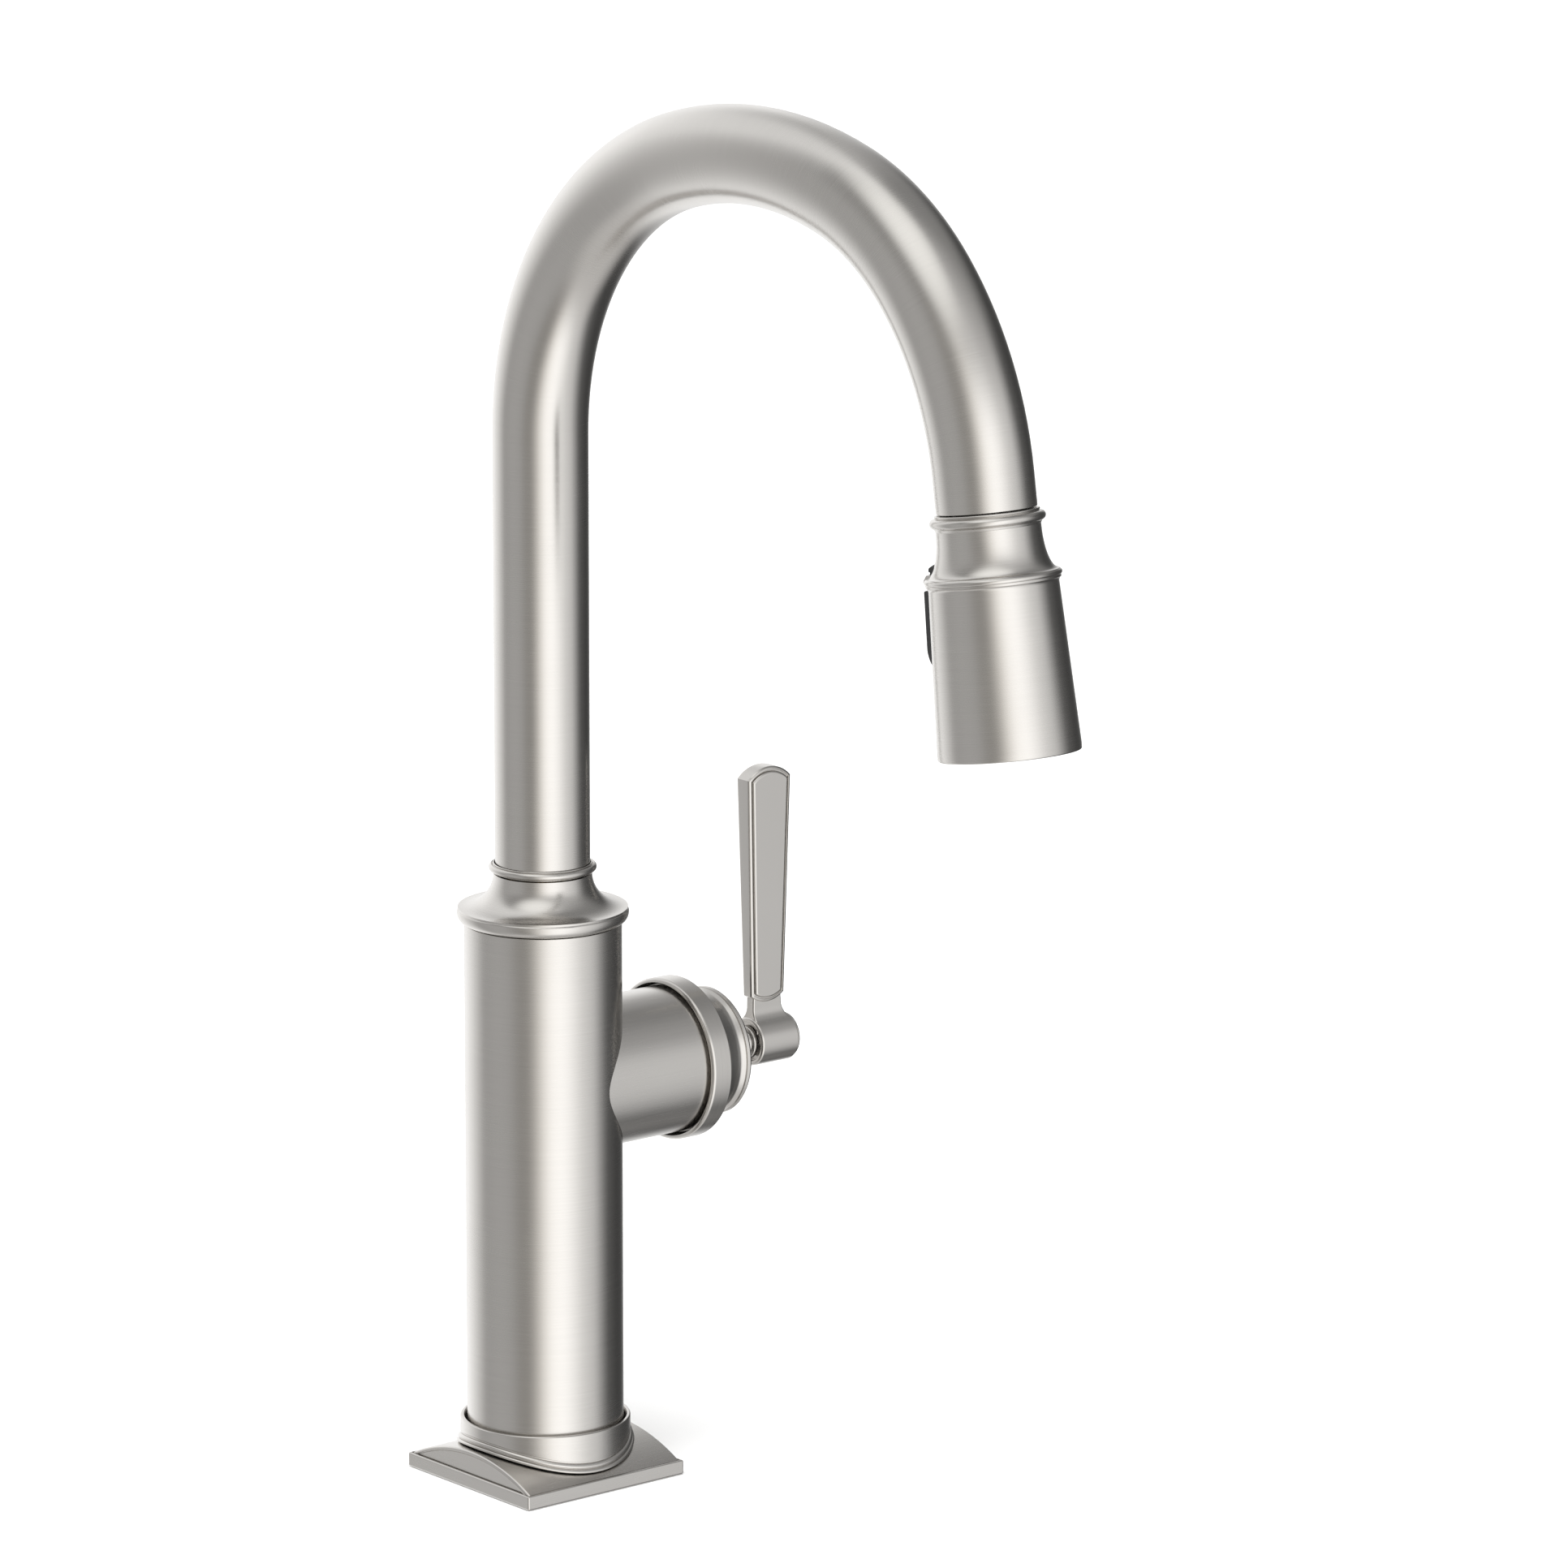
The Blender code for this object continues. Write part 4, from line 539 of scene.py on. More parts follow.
def body_shell():
    low, high = (corner.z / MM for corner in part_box("body_shell"))
    neck_foot, floor_thick, clear, halfway = 4, 4, 5, 26
    corners = [(COLUMN_RADIUS, low, 0.3), (COLUMN_RADIUS, HUB_HEIGHT - halfway, 0),
               (COLUMN_RADIUS, HUB_HEIGHT + halfway, 0), (COLUMN_RADIUS, high, 0.3),
               (0, high, 0), (0, low, 0)]
    shell = lathe("body_shell_fine", rounded(corners), sides=CYLINDER_SIDES)
    corners = [(0, neck_foot, 0), (NECK_RADIUS, neck_foot, 0), (NECK_RADIUS, NECK_END, 0.3),
               (0, NECK_END, 0)]
    combined(shell, lathe("neck", rounded(corners), HUB_FRAME, CYLINDER_SIDES), "UNION")
    bored(shell, "column_bore", COLUMN_RADIUS - COLUMN_WALL, low + floor_thick, high + clear)
    bored(shell, "neck_bore", NECK_RADIUS - COLUMN_WALL, 1, NECK_END + clear, HUB_FRAME)
    bored(shell, "floor_bore", PLATE_BORE, low - clear, low + clear)
    face_grain(shell, lambda normal: 2)
    shown(shell, "fixed_base", NICKEL, "body_shell", sharp=math.radians(14))
    shell.modifiers.clear()
    column_normals(shell.data)


# ---- Collar and the spout's foot ----

def top_collar():
    """A flange with a rounded rim, and a cove that sweeps up to the spout's ring."""
    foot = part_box("body_shell")[1].z / MM + PLAY
    rim, ridge, rim_edge = 26.15, foot + 2.9, 0.55
    cove, cove_out = 10.5, 25.5
    lip = foot + 4.5 + cove
    skirt, bore, hole, deep = 20.7, 14.0, 11.8, 14
    corners = [(COLUMN_RADIUS, foot, 0),
               *arc((COLUMN_RADIUS, ridge), (rim - COLUMN_RADIUS, ridge - foot), -80, 0),
               *arc((rim - rim_edge, ridge), (rim_edge, 1.0), 12, 72),
               *arc((cove_out, lip), (cove, cove), -88, -180, 14),
               (hole, lip, 0.3), (hole, lip - 2.4, 0), (bore, lip - 2.4, 0),
               (bore, foot - deep, 0.4), (skirt, foot - deep, 0.6), (skirt, foot, 0)]
    shown(lathe("top_collar_fine", rounded(corners)), "fixed_base", NICKEL, "top_collar")


def spout_ring():
    """Bead over the swivel's seam, with a thin lip inside it where the tube goes in."""
    foot, top = (corner.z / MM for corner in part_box("spout_ring"))
    inner, step, floor_top = TUBE_RADIUS + PLAY, 11.8, foot + 1.2
    corners = [(step, foot, 0.2), (14.5, foot, 0), (14.6, foot + 0.45, 0),
               *arc((15.2, foot + 1.5), (1.2, 1.12), -70, 70), (15.15, top - 0.75, 0.1),
               (14.98, top - 0.65, 0.05), *arc((14.93, top - 0.25), (0.25, 0.25), -60, 140, 6),
               (inner, floor_top, 0), (step, floor_top, 0)]
    shown(lathe("spout_ring_fine", rounded(corners)), "spout", NICKEL, "spout_ring")


# ---- Gooseneck ----

RISE_STEP = 12                  # millimetres between the rings of the straight rise
BEND_STEP = 2.5                 # degrees between those of the arcs


def centreline(foot, depth):
    """(point, turn from upright) along the spout's middle, in millimetres."""
    points = [(Vector((0, 0, foot)), 0.0)]
    rises = max(2, round((STRAIGHT_TOP - foot) / RISE_STEP))
    points += [(Vector((0, 0, foot + (STRAIGHT_TOP - foot) * k / rises)), 0.0)
               for k in range(1, rises + 1)]
    heading = 0.0
    for radius, degrees in GOOSENECK_ARCS:
        start, end = points[-1][0], math.radians(degrees)
        steps = round(math.degrees(end - heading) / BEND_STEP)
        for k in range(1, steps + 1):
            turn = heading + (end - heading) * k / steps
            forward = radius * (math.cos(heading) - math.cos(turn))
            rise = radius * (math.sin(turn) - math.sin(heading))
            points.append((start + Vector((0, -forward, rise)), turn))
        heading = end
    along = Vector((0, -math.sin(heading), math.cos(heading)))
    if depth > 0:
        points += [(points[-1][0] + along * depth * k / 2, heading) for k in (1, 2)]
    return points


HEAD_ORIGIN = centreline(0, 0)[-1][0]
HEAD_TILT = math.pi - math.radians(GOOSENECK_ARCS[-1][1])
HEAD_FRAME = Matrix.Translation(HEAD_ORIGIN * MM) @ Matrix.Rotation(-HEAD_TILT, 4, "X")


def tube_rings(path, outer, inner, edge):
    """(point, turn, radius) out along the outer wall and back along the inner."""
    foot, (mouth, turn) = path[0][0], path[-1]
    away = Vector((0, -math.sin(turn), math.cos(turn)))
    return [(foot, 0.0, outer - edge), (foot + Vector((0, 0, edge)), 0.0, outer),
            *((point, heading, outer) for point, heading in path[1:-1]),
            (mouth - away * edge, turn, outer),
            (mouth - away * edge * 0.3, turn, outer - edge * 0.3),
            (mouth, turn, outer - edge), (mouth, turn, inner),
            *((point, heading, inner) for point, heading in reversed(path[:-1]))]


def spout_tube():
    path = centreline(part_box("spout_tube")[0].z / MM, MOUTH_DEPTH)
    rings = tube_rings(path, TUBE_RADIUS, TUBE_RADIUS - TUBE_WALL, 0.35)
    verts, grain, length, sides = [], [], 0, 128
    for i, (point, heading, radius) in enumerate(rings):
        if i:
            length += (point - rings[i - 1][0]).length
        across = Vector((0, math.cos(heading), math.sin(heading)))
        for k in range(sides):
            turn = math.tau * k / sides
            round_x, round_y = radius * math.cos(turn), radius * math.sin(turn)
            verts.append((point + Vector((1, 0, 0)) * round_x + across * round_y) * MM)
            grain.append((round_x * MM, round_y * MM, length * MM))
    faces = []
    for i in range(len(rings)):
        a, b = i * sides, (i + 1) % len(rings) * sides
        faces += [[a + k, a + (k + 1) % sides, b + (k + 1) % sides, b + k]
                  for k in range(sides)]
    shown(new_object("spout_tube_fine", verts, faces, grain), "spout", NICKEL, "spout_tube")


def dock_pieces():
    """The guide and the magnet in the mouth, seen once the head is drawn out."""
    inner, outer, low, high = 11.03, 12.83, -MOUTH_DEPTH, 2.0
    guide = [(inner, low, 0.5), (outer, low, 0.3), (outer, high, 0.3), (inner, high, 0.6)]
    shown(lathe("dock_guide_fine", rounded(guide), HEAD_FRAME), "spout", BLACK_PLASTIC,
          "dock_guide")
    inner, outer, low, high, edge = 8.4, 12.1, 2.3, 7.0, 0.4
    magnet = [(inner, low, edge), (outer, low, edge), (outer, high, edge), (inner, high, edge)]
    shown(lathe("dock_magnet_fine", rounded(magnet), HEAD_FRAME), "spout", MAGNET,
          "dock_magnet")


# ---- Spray head: heights are minus the depth below the last arc's end ----

HEAD_LENGTH = 79.0
RIDGE_DEPTH = 28.33
RIDGE_RADIUS = 19.65
HEAD_NECK_RADIUS = 15.0
SKIRT_TOP = (18.55, 30.9)       # radius and depth
SKIRT_FOOT = (20.5, 77.0)
HEAD_WALL = 1.9
SHELL_TOP = 14.2


def head_collar():
    bore, spigot, top = 8.93, 10.73, 1.4
    corners = [(spigot, top, 0.4), (spigot, -9.7, 0.1), (14.45, -9.7, 0),
               *arc((14.72, -10.05), (0.33, 0.33), 90, -50, 7), (14.82, -10.45, 0.08),
               (15.0, -10.55, 0), *arc((15.05, -12.0), (1.5, 1.4), 78, -60),
               (15.4, -13.45, 0.3), (HEAD_NECK_RADIUS + 0.05, -14.15, 0.2),
               (HEAD_NECK_RADIUS, -SHELL_TOP, 0), (bore, -SHELL_TOP, 0), (bore, top, 0.3)]
    shown(lathe("head_collar_fine", rounded(corners), HEAD_FRAME), "spray_head", NICKEL,
          "head_collar")


def cove_points(start, end, steps=14):
    """Concave quarter ellipse that leaves start along the axis and meets end square on."""
    points = []
    for k in range(steps + 1):
        a = math.pi / 2 * k / steps
        points.append((start[0] + (end[0] - start[0]) * (1 - math.cos(a)),
                       start[1] + (end[1] - start[1]) * math.sin(a), 0))
    return points


def head_shell():
    ridge = -RIDGE_DEPTH
    skirt_r, skirt_h = SKIRT_TOP[0], -SKIRT_TOP[1]
    rim_in = SKIRT_FOOT[0] - HEAD_WALL
    corners = [(HEAD_NECK_RADIUS, -SHELL_TOP, 0),
               *cove_points((HEAD_NECK_RADIUS, -SHELL_TOP - 0.8), (RIDGE_RADIUS - 0.7, ridge + 1.0)),
               *arc((RIDGE_RADIUS - 0.85, ridge), (0.85, 0.85), 62, -62, 10),
               *arc((SKIRT_TOP[0] + 1.25, skirt_h - 0.2), (1.25, 1.55), 115, 175, 6),
               (SKIRT_FOOT[0], -SKIRT_FOOT[1], 1.2), (SKIRT_FOOT[0] - 0.05, -HEAD_LENGTH, 0.5),
               (rim_in, -HEAD_LENGTH, 0.4), (rim_in, 4 - HEAD_LENGTH, 0),
               (skirt_r - HEAD_WALL, skirt_h + 0.5, 0),
               (skirt_r - HEAD_WALL - 1, ridge + 1, 0),
               (HEAD_NECK_RADIUS - HEAD_WALL, -SHELL_TOP - 6, 0),
               (HEAD_NECK_RADIUS - HEAD_WALL, -SHELL_TOP, 0)]
    shell = lathe("head_shell_fine", rounded(corners), HEAD_FRAME)
    bridge_in, bridge_out = BRIDGE_REACH
    bridge = lathe("bridge", rounded([
        (bridge_in - 1, ridge - 2.0, 0), (bridge_in + 0.5, ridge - 2.0, 0.4),
        (bridge_out, ridge, 0.9), (bridge_in + 0.5, ridge + 2.0, 0.4),
        (bridge_in - 1, ridge + 2.0, 0)]), HEAD_FRAME)
    wide = BUTTON_HALF_WIDTH + 2.2
    sector = box_object("sector", (-wide, 8, ridge - 6), (wide, 26, ridge + 6), HEAD_FRAME)
    combined(bridge, sector, "INTERSECT")
    combined(shell, bridge, "UNION")
    window = button_prism("window", 0.7, 10, 30)
    keep = lathe("keep", [(bridge_in, ridge - 2), (40, ridge - 2), (40, ridge + 2),
                          (bridge_in, ridge + 2)], HEAD_FRAME)
    combined(window, keep, "DIFFERENCE")
    combined(shell, window, "DIFFERENCE")
    shown(shell, "spray_head", NICKEL, "head_shell", sharp=math.radians(30))


# ---- Spray button ----

BUTTON_HALF_WIDTH = 11.0
BUTTON_TOP = 23.6
BUTTON_END = 54.0
BUTTON_PIVOT_REACH = 12.9
BRIDGE_REACH = (RIDGE_RADIUS - HEAD_WALL + 0.6, RIDGE_RADIUS - HEAD_WALL + 2.4)


def button_prism(name, margin, near, far):
    """Prism of the rocker's outline from behind, between two reaches from the axis."""
    half = BUTTON_HALF_WIDTH + margin
    top, end = BUTTON_TOP - margin, BUTTON_END + margin
    outline = rounded([(half, -top, 1.2), (-half, -top, 1.2), (-half, -end, 5), (half, -end, 5)])
    prism = loft(name, [[(x, y, z) for x, z in outline] for y in (near, far)])
    prism.data.transform(HEAD_FRAME)
    return prism


def spray_button():
    """Black rocker in two pads, joined by a waist under the bridge."""
    ridge = -RIDGE_DEPTH
    waist = BRIDGE_REACH[0] - 0.3
    pad = SKIRT_TOP[0] + 2.3
    end = -BUTTON_END
    corners = [(waist - 1.2, -BUTTON_TOP, 0), (waist + 0.4, -BUTTON_TOP - 1.0, 0.6),
               (waist + 0.5, ridge + 2.7, 0.2), (waist, ridge + 2.7, 0.15),
               (waist, ridge - 2.7, 0.15), (pad, ridge - 2.7, 0.5), (pad + 0.9, end + 6, 4.0),
               (pad + 0.2, end + 1.6, 1.5), (pad - 1.4, end, 0.5),
               (waist - 1.2, end, 0), (waist - 2, -BUTTON_TOP, 0)]
    rocker = lathe("spray_button_fine", rounded(corners), HEAD_FRAME, 240)
    combined(rocker, button_prism("blank", 0, 8, 30), "INTERSECT")
    grip = []
    for k in range(5):
        height = end + 4.5 + 2.2 * k
        grip.append(lathe("grip", rounded([(pad - 0.2, height - 0.5, 0), (pad + 1.2, height - 0.5, 0),
                                           (pad + 1.2, height + 0.5, 0),
                                           (pad - 0.2, height + 0.5, 0)]), HEAD_FRAME, 240))
    for groove in grip:
        side = box_object("grip_side", (-7, 10, -80), (7, 40, 0), HEAD_FRAME)
        combined(groove, side, "INTERSECT")
        combined(rocker, groove, "DIFFERENCE")
    boss = box_object("boss", (-4, BUTTON_PIVOT_REACH - 2.1, ridge - 1.9),
                      (4, waist - 0.9, ridge + 1.9), HEAD_FRAME)
    combined(rocker, boss, "UNION")
    shown(rocker, "rocker", BLACK_PLASTIC, "spray_button", sharp=math.radians(30))


# ---- Outlet face ----

def face_pieces():
    """Face ring, silicone spray face with its nozzles, and the aerator's mesh."""
    rim = SKIRT_FOOT[0] - HEAD_WALL - 0.3
    wall = 2.4
    ring_top = 65.6
    bore = SKIRT_TOP[0] - HEAD_WALL + (ring_top - 30.4) / 44.6 * 1.95 - 0.3
    corners = [(bore, -ring_top, 0), (rim, 4 - HEAD_LENGTH, 0), (rim, 0.6 - HEAD_LENGTH, 0.3),
               (rim - wall, 0.6 - HEAD_LENGTH, 0.5), (rim - wall, -ring_top, 0)]
    shown(lathe("face_ring_fine", rounded(corners), HEAD_FRAME), "spray_head",
          BLACK_PLASTIC, "face_ring")
    hole, wide = 7.3, rim - wall - 0.3
    face = 1.2 - HEAD_LENGTH
    corners = [(hole, -71.6, 0), (wide, -71.6, 0), (wide, face, 0.4), (hole, face, 0.4)]
    shown(lathe("spray_face_fine", rounded(corners), HEAD_FRAME), "spray_head", RUBBER,
          "spray_face")
    nozzle = rounded([(0, face + 0.2, 0), (0.75, face + 0.2, 0), (0.55, face - 0.7, 0.2),
                      (0.25, face - 0.7, 0.1), (0.25, face - 0.2, 0), (0, face - 0.2, 0)])
    number = 0
    for circle, count in ((8.9, 16), (11.3, 22), (13.7, 28)):
        for k in range(count):
            turn = math.tau * (k + 0.5 * (count % 4 == 2)) / count
            spot = Matrix.Translation(Vector((circle * math.cos(turn),
                                              circle * math.sin(turn), 0)) * MM)
            nub = lathe(f"nozzle_{number:02d}", nozzle, HEAD_FRAME @ spot, 12)
            shown(nub, "spray_head", RUBBER)
            number += 1
    aerator()


def aerator():
    """Ring round a screen of crossed bars."""
    end = -(HEAD_LENGTH - 1.2 - 0.4)
    corners = [(2.0, end + 8, 0), (7.0, end + 8, 0), (7.0, end, 0.4), (5.8, end, 0.3),
               (5.8, end + 1.2, 0), (2.0, end + 1.2, 0)]
    shown(lathe("aerator_fine", rounded(corners), HEAD_FRAME, SMALL_SIDES), "spray_head",
          GREY_PLASTIC, "aerator")
    verts, faces = [], []
    pitch, half, deep = 1.3, 0.16, 0.5
    for turned in (False, True):
        for k in range(-4, 5):
            offset = k * pitch
            reach = math.sqrt(5.9**2 - offset**2)
            low, high = (-reach, offset - half, end + 0.6), (reach, offset + half, end + 0.6 + deep)
            if turned:
                low, high = (offset - half, -reach, end + 0.6), (offset + half, reach, end + 0.6 + deep)
            base = len(verts)
            verts += [HEAD_FRAME @ (Vector((x, y, z)) * MM) for x in (low[0], high[0])
                      for y in (low[1], high[1]) for z in (low[2], high[2])]
            faces += [[base + i for i in face] for face in
                      ([0, 1, 3, 2], [4, 6, 7, 5], [0, 4, 5, 1], [2, 3, 7, 6],
                       [0, 2, 6, 4], [1, 5, 7, 3])]
    screen = new_object("aerator_screen", verts, faces)
    shown(screen, "spray_head", GREY_PLASTIC)


# ---- Hose between the spout and the head ----

def hose_stretch():
    """The stretch of hose that comes out of the mouth when the head is drawn down."""
    radius, high, low = 5.8, 8.7, -13.0
    rings = 72
    verts, faces, sides = [], [], 48
    for i in range(rings + 1):
        height = high + (low - high) * i / rings
        verts += [HEAD_FRAME @ (Vector((radius * math.cos(a), radius * math.sin(a), height))
                                * MM) for a in (math.tau * k / sides for k in range(sides))]
    for i in range(rings):
        faces += [[i * sides + k, i * sides + (k + 1) % sides,
                   (i + 1) * sides + (k + 1) % sides, (i + 1) * sides + k]
                  for k in range(sides)]
    faces += [list(range(sides)), [rings * sides + k for k in range(sides)]]
    hose = new_object("hose_stretch", verts, faces)
    hose.data.materials.append(BRAID)
    hose.data.shade_smooth()
    hose.data.set_sharp_from_angle(angle=SHARP)
    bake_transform(hose)
    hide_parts("hose_end")


# ---- Hub: positions along its axis from the column's ----

def hub_pieces():
    ring_out, start, end = 25.2, 46.3, 53.5
    corners = [(23.1, start + 2.6, 0.2), (23.75, start + 0.7, 0.4),
               *arc((ring_out - 1.1, start + 1.1), (1.1, 1.1), -100, 0, 8),
               (ring_out, end, 0.4), (16.0, end, 0.3), (16.0, NECK_END + 0.3, 0),
               (23.1, NECK_END + 0.3, 0)]
    shown(lathe("hub_ring_fine", rounded(corners), HUB_FRAME), "fixed_base", NICKEL,
          "hub_ring")
    back, face = end + 0.3, 66.9
    opening, socket = 7.2, 9.1
    corners = [(15.3, 51.0, 0), (15.3, back, 0), (ring_out - 1.4, back, 0.4),
               (ring_out - 1.7, back + 0.6, 0.3), (21.6, 54.9, 1.0), (20.3, 57.3, 2.5),
               (19.2, 60.9, 2.0), (18.95, 62.2, 1.2), (19.5, 63.75, 0.2), (19.42, 63.95, 0),
               (19.8, 64.15, 0.1), (19.95, 65.1, 0.3), (19.3, 65.95, 0.4),
               (16.0, face - 0.7, 1.0), (11.2, face, 1.0), (opening, face, 0.4),
               (opening + 0.6, face - 1.8, 0), (socket, BALL_POSITION + 1, 0),
               (socket, back + 2.5, 0), (14.6, back + 1, 0), (14.6, 51.0, 0)]
    shown(lathe("dome_cap_fine", rounded(corners), HUB_FRAME), "fixed_base", NICKEL,
          "dome_cap")


def stem_pieces():
    ball, bore = 8.5, 3.3
    start = math.acos(bore / ball)
    outline = [(ball * math.cos(a), BALL_POSITION + ball * math.sin(a))
               for a in (start * (1 - 2 * k / 32) for k in range(33))]
    shown(lathe("stem_ball_fine", outline, HUB_FRAME, SMALL_SIDES), "lever", STEEL,
          "stem_ball")
    disc, low, high = 5.2, 78.8, 80.4
    corners = [(0, 91, 0), (3, 91, 0), (3, high, 0), (disc, high, 0.3), (disc, low, 0.45),
               (3.9, low - 0.2, 0.3), (3.5, 76.4, 1.0), (3.5, 70.1, 0.3), (3.0, 69.6, 0),
               (3.0, 43, 0), (2.2, 42, 0), (0, 42, 0)]
    shown(lathe("lever_stem_fine", rounded(corners), HUB_FRAME, SMALL_SIDES), "lever", NICKEL,
          "lever_stem")


# ---- Lever ----

PADDLE_CENTRE = 86.6
PADDLE_FOOT, PADDLE_TOP = 137.4, 206.4
PADDLE_FOOT_HALF, PADDLE_TOP_HALF = 6.6, 8.4
PADDLE_FOOT_DEEP, PADDLE_TOP_DEEP = 2.7, 3.6
CROWN_RISE, FOOT_DROP = 3.6, 2.4
BARREL = (80.2, 94.6, 7.6)      # start, end and radius
NECK_HALF = (5.4, 1.8)          # half width and half depth


def paddle_deep(z):
    share = min(max((z - PADDLE_FOOT) / (PADDLE_TOP - PADDLE_FOOT), 0), 1)
    return PADDLE_FOOT_DEEP + (PADDLE_TOP_DEEP - PADDLE_FOOT_DEEP) * share


def paddle_outline(inset, arch_steps=16, side_steps=10):
    """(x, z) points round the paddle's front, drawn in from its edge by inset."""
    def end(half, edge, rise, sign):
        radius = (half**2 + rise**2) / (2 * rise)
        middle = edge + sign * (rise - radius)
        radius -= inset
        side = half - inset
        reach = math.asin(side / radius)
        turns = [reach * (1 - 2 * k / arch_steps) for k in range(arch_steps + 1)]
        return [(radius * math.sin(a), middle + sign * radius * math.cos(a)) for a in turns]

    top = end(PADDLE_TOP_HALF, PADDLE_TOP, CROWN_RISE, 1)
    foot = end(PADDLE_FOOT_HALF, PADDLE_FOOT, FOOT_DROP, -1)[::-1]
    left, right = [], []
    for k in range(1, side_steps):
        share = k / side_steps
        left.append((top[-1][0] + (foot[0][0] - top[-1][0]) * share,
                     top[-1][1] + (foot[0][1] - top[-1][1]) * share))
        right.append((foot[-1][0] + (top[0][0] - foot[-1][0]) * share,
                      foot[-1][1] + (top[0][1] - foot[-1][1]) * share))
    return top + left + foot + right


def lever_handle():
    # Each layer: how far in from the edge, and how far back from the front plane.
    layers = [(0.0, 1.35), (0.03, 1.13), (0.12, 0.9), (0.27, 0.7), (0.46, 0.56), (0.68, 0.48),
              (0.9, 0.45), (1.02, 0.55), (1.08, 1.1), (1.42, 1.1), (1.48, 0.65), (1.58, 0.4),
              (1.75, 0.19), (1.98, 0.05), (2.25, 0.0)]
    sections = []
    for side, stack in ((-1, layers[::-1]), (1, layers)):
        for inset, back in stack:
            sections.append([(PADDLE_CENTRE + x, side * (paddle_deep(z) - back), z)
                             for x, z in paddle_outline(inset)])
    paddle = loft("paddle", sections)
    start, end, radius = BARREL
    disc, recess, bore = 6.2, 1.8, 3.3
    barrel = [(disc, start, 0.25), (radius, start, 0.75), (radius, end, 0.35), (bore, end, 0),
              (bore, start + recess, 0), (disc, start + recess, 0.2)]
    handle = lathe("lever_handle_fine", rounded(barrel), HUB_FRAME, 96)
    face_grain(handle, lambda n: 0)
    neck = lever_neck()
    for part in (neck, paddle):
        face_grain(part, lambda n: 1 if abs(n.x) > 0.8 else 0)
        combined(handle, part, "UNION")
    screw = Matrix.Translation(Vector(((start + end) / 2 + 1, 0, HUB_HEIGHT)) * MM)
    combined(handle, lathe("screw_hole", [(0, -radius - 1), (1.8, -radius - 1), (1.8, 0), (0, 0)],
                           screw, 24), "DIFFERENCE")
    face_grain(handle, lambda n: 1 if abs(n.x) > 0.8 else 0)
    shown(handle, "lever", NICKEL, "lever_handle", sharp=math.radians(26))


def lever_neck():
    """Blade from the paddle's foot that sweeps into the barrel's front, back and ends."""
    start, end, radius = BARREL
    blend = 5.0
    half_wide, half_deep = NECK_HALF
    rise = math.sqrt((radius + blend)**2 - (half_deep + blend)**2)
    centre_z = HUB_HEIGHT + rise
    low = HUB_HEIGHT + rise * radius / (radius + blend)
    sections = []
    edge, steps = 0.5, 14
    wide_foot = (end - start) / 2 - 0.5
    shift = (start + end) / 2 - PADDLE_CENTRE
    heights = [low - 3.5] + [low + (centre_z - low) * k / steps for k in range(steps + 1)]
    heights += [PADDLE_FOOT + 1]
    for z in heights:
        bounded = min(max(z, low), centre_z)
        deep = half_deep + blend - math.sqrt(blend**2 - (centre_z - bounded)**2)
        flare_top = HUB_HEIGHT + radius + 6.5
        share = min(max((flare_top - z) / (flare_top - low), 0), 1)
        wide = half_wide + (wide_foot - half_wide) * share**2.2
        middle = PADDLE_CENTRE + shift * share**2.2
        outline = rounded([(wide, deep, edge), (-wide, deep, edge), (-wide, -deep, edge),
                           (wide, -deep, edge)])
        sections.append([(middle + x, y, z) for x, y in outline])
    return loft("lever_neck", sections)


def lever_end_cap():
    end = BARREL[1]
    cap, tip = 7.15, 96.1
    corners = [(0, tip, 0), (5.9, tip, 0.3), (cap - 0.1, tip - 0.65, 0.4), (cap, end + 0.25, 0.15),
               (cap - 0.9, end + 0.15, 0), (2.7, end + 0.15, 0), (2.7, 91.3, 0), (0, 91.3, 0)]
    shown(lathe("lever_end_cap_fine", rounded(corners), HUB_FRAME, SMALL_SIDES), "lever",
          NICKEL, "lever_end_cap")


# ---- Floor, light and camera ----

CAMERA_PLACE = Vector((-1.56429, -2.00999, 0.79019))
CAMERA_FORWARD = Vector((0.62098086, 0.75235076, -0.21988884))
CAMERA_ROLL = math.radians(0.058)
CAMERA_LENS = 198.30        # millimetres on a 36 mm sensor
TOWARDS_CAMERA = Vector((-CAMERA_FORWARD.x, -CAMERA_FORWARD.y, 0)).normalized()
CAMERA_RIGHT = Vector((TOWARDS_CAMERA.y, -TOWARDS_CAMERA.x, 0)) * -1

# Brightness round the studio: degrees from the camera's side, positive to its right,
# then brightness and warmth. Soft boxes are the high stretches and flags the low ones.
STUDIO = (
    (-180, 1.15, 0.0), (-148, 1.3, 0.0), (-128, 1.1, 0.0), (-108, 0.74, 0.1), (-96, 0.46, 0.2),
    (-70, 0.52, 0.2), (-50, 0.5, 0.2), (-34, 0.37, 0.8), (-21, 0.36, 0.9), (-10, 0.68, 0.9),
    (1, 1.2, 0.7), (12, 1.56, 0.3), (28, 1.64, 0.1), (42, 1.42, 0.1), (60, 1.0, 0.1),
    (80, 0.78, 0.0), (92, 0.42, 0.0), (106, 0.12, 0.0), (135, 0.06, 0.0), (158, 0.09, 0.0),
    (170, 0.6, 0.0), (180, 1.15, 0.0),
)
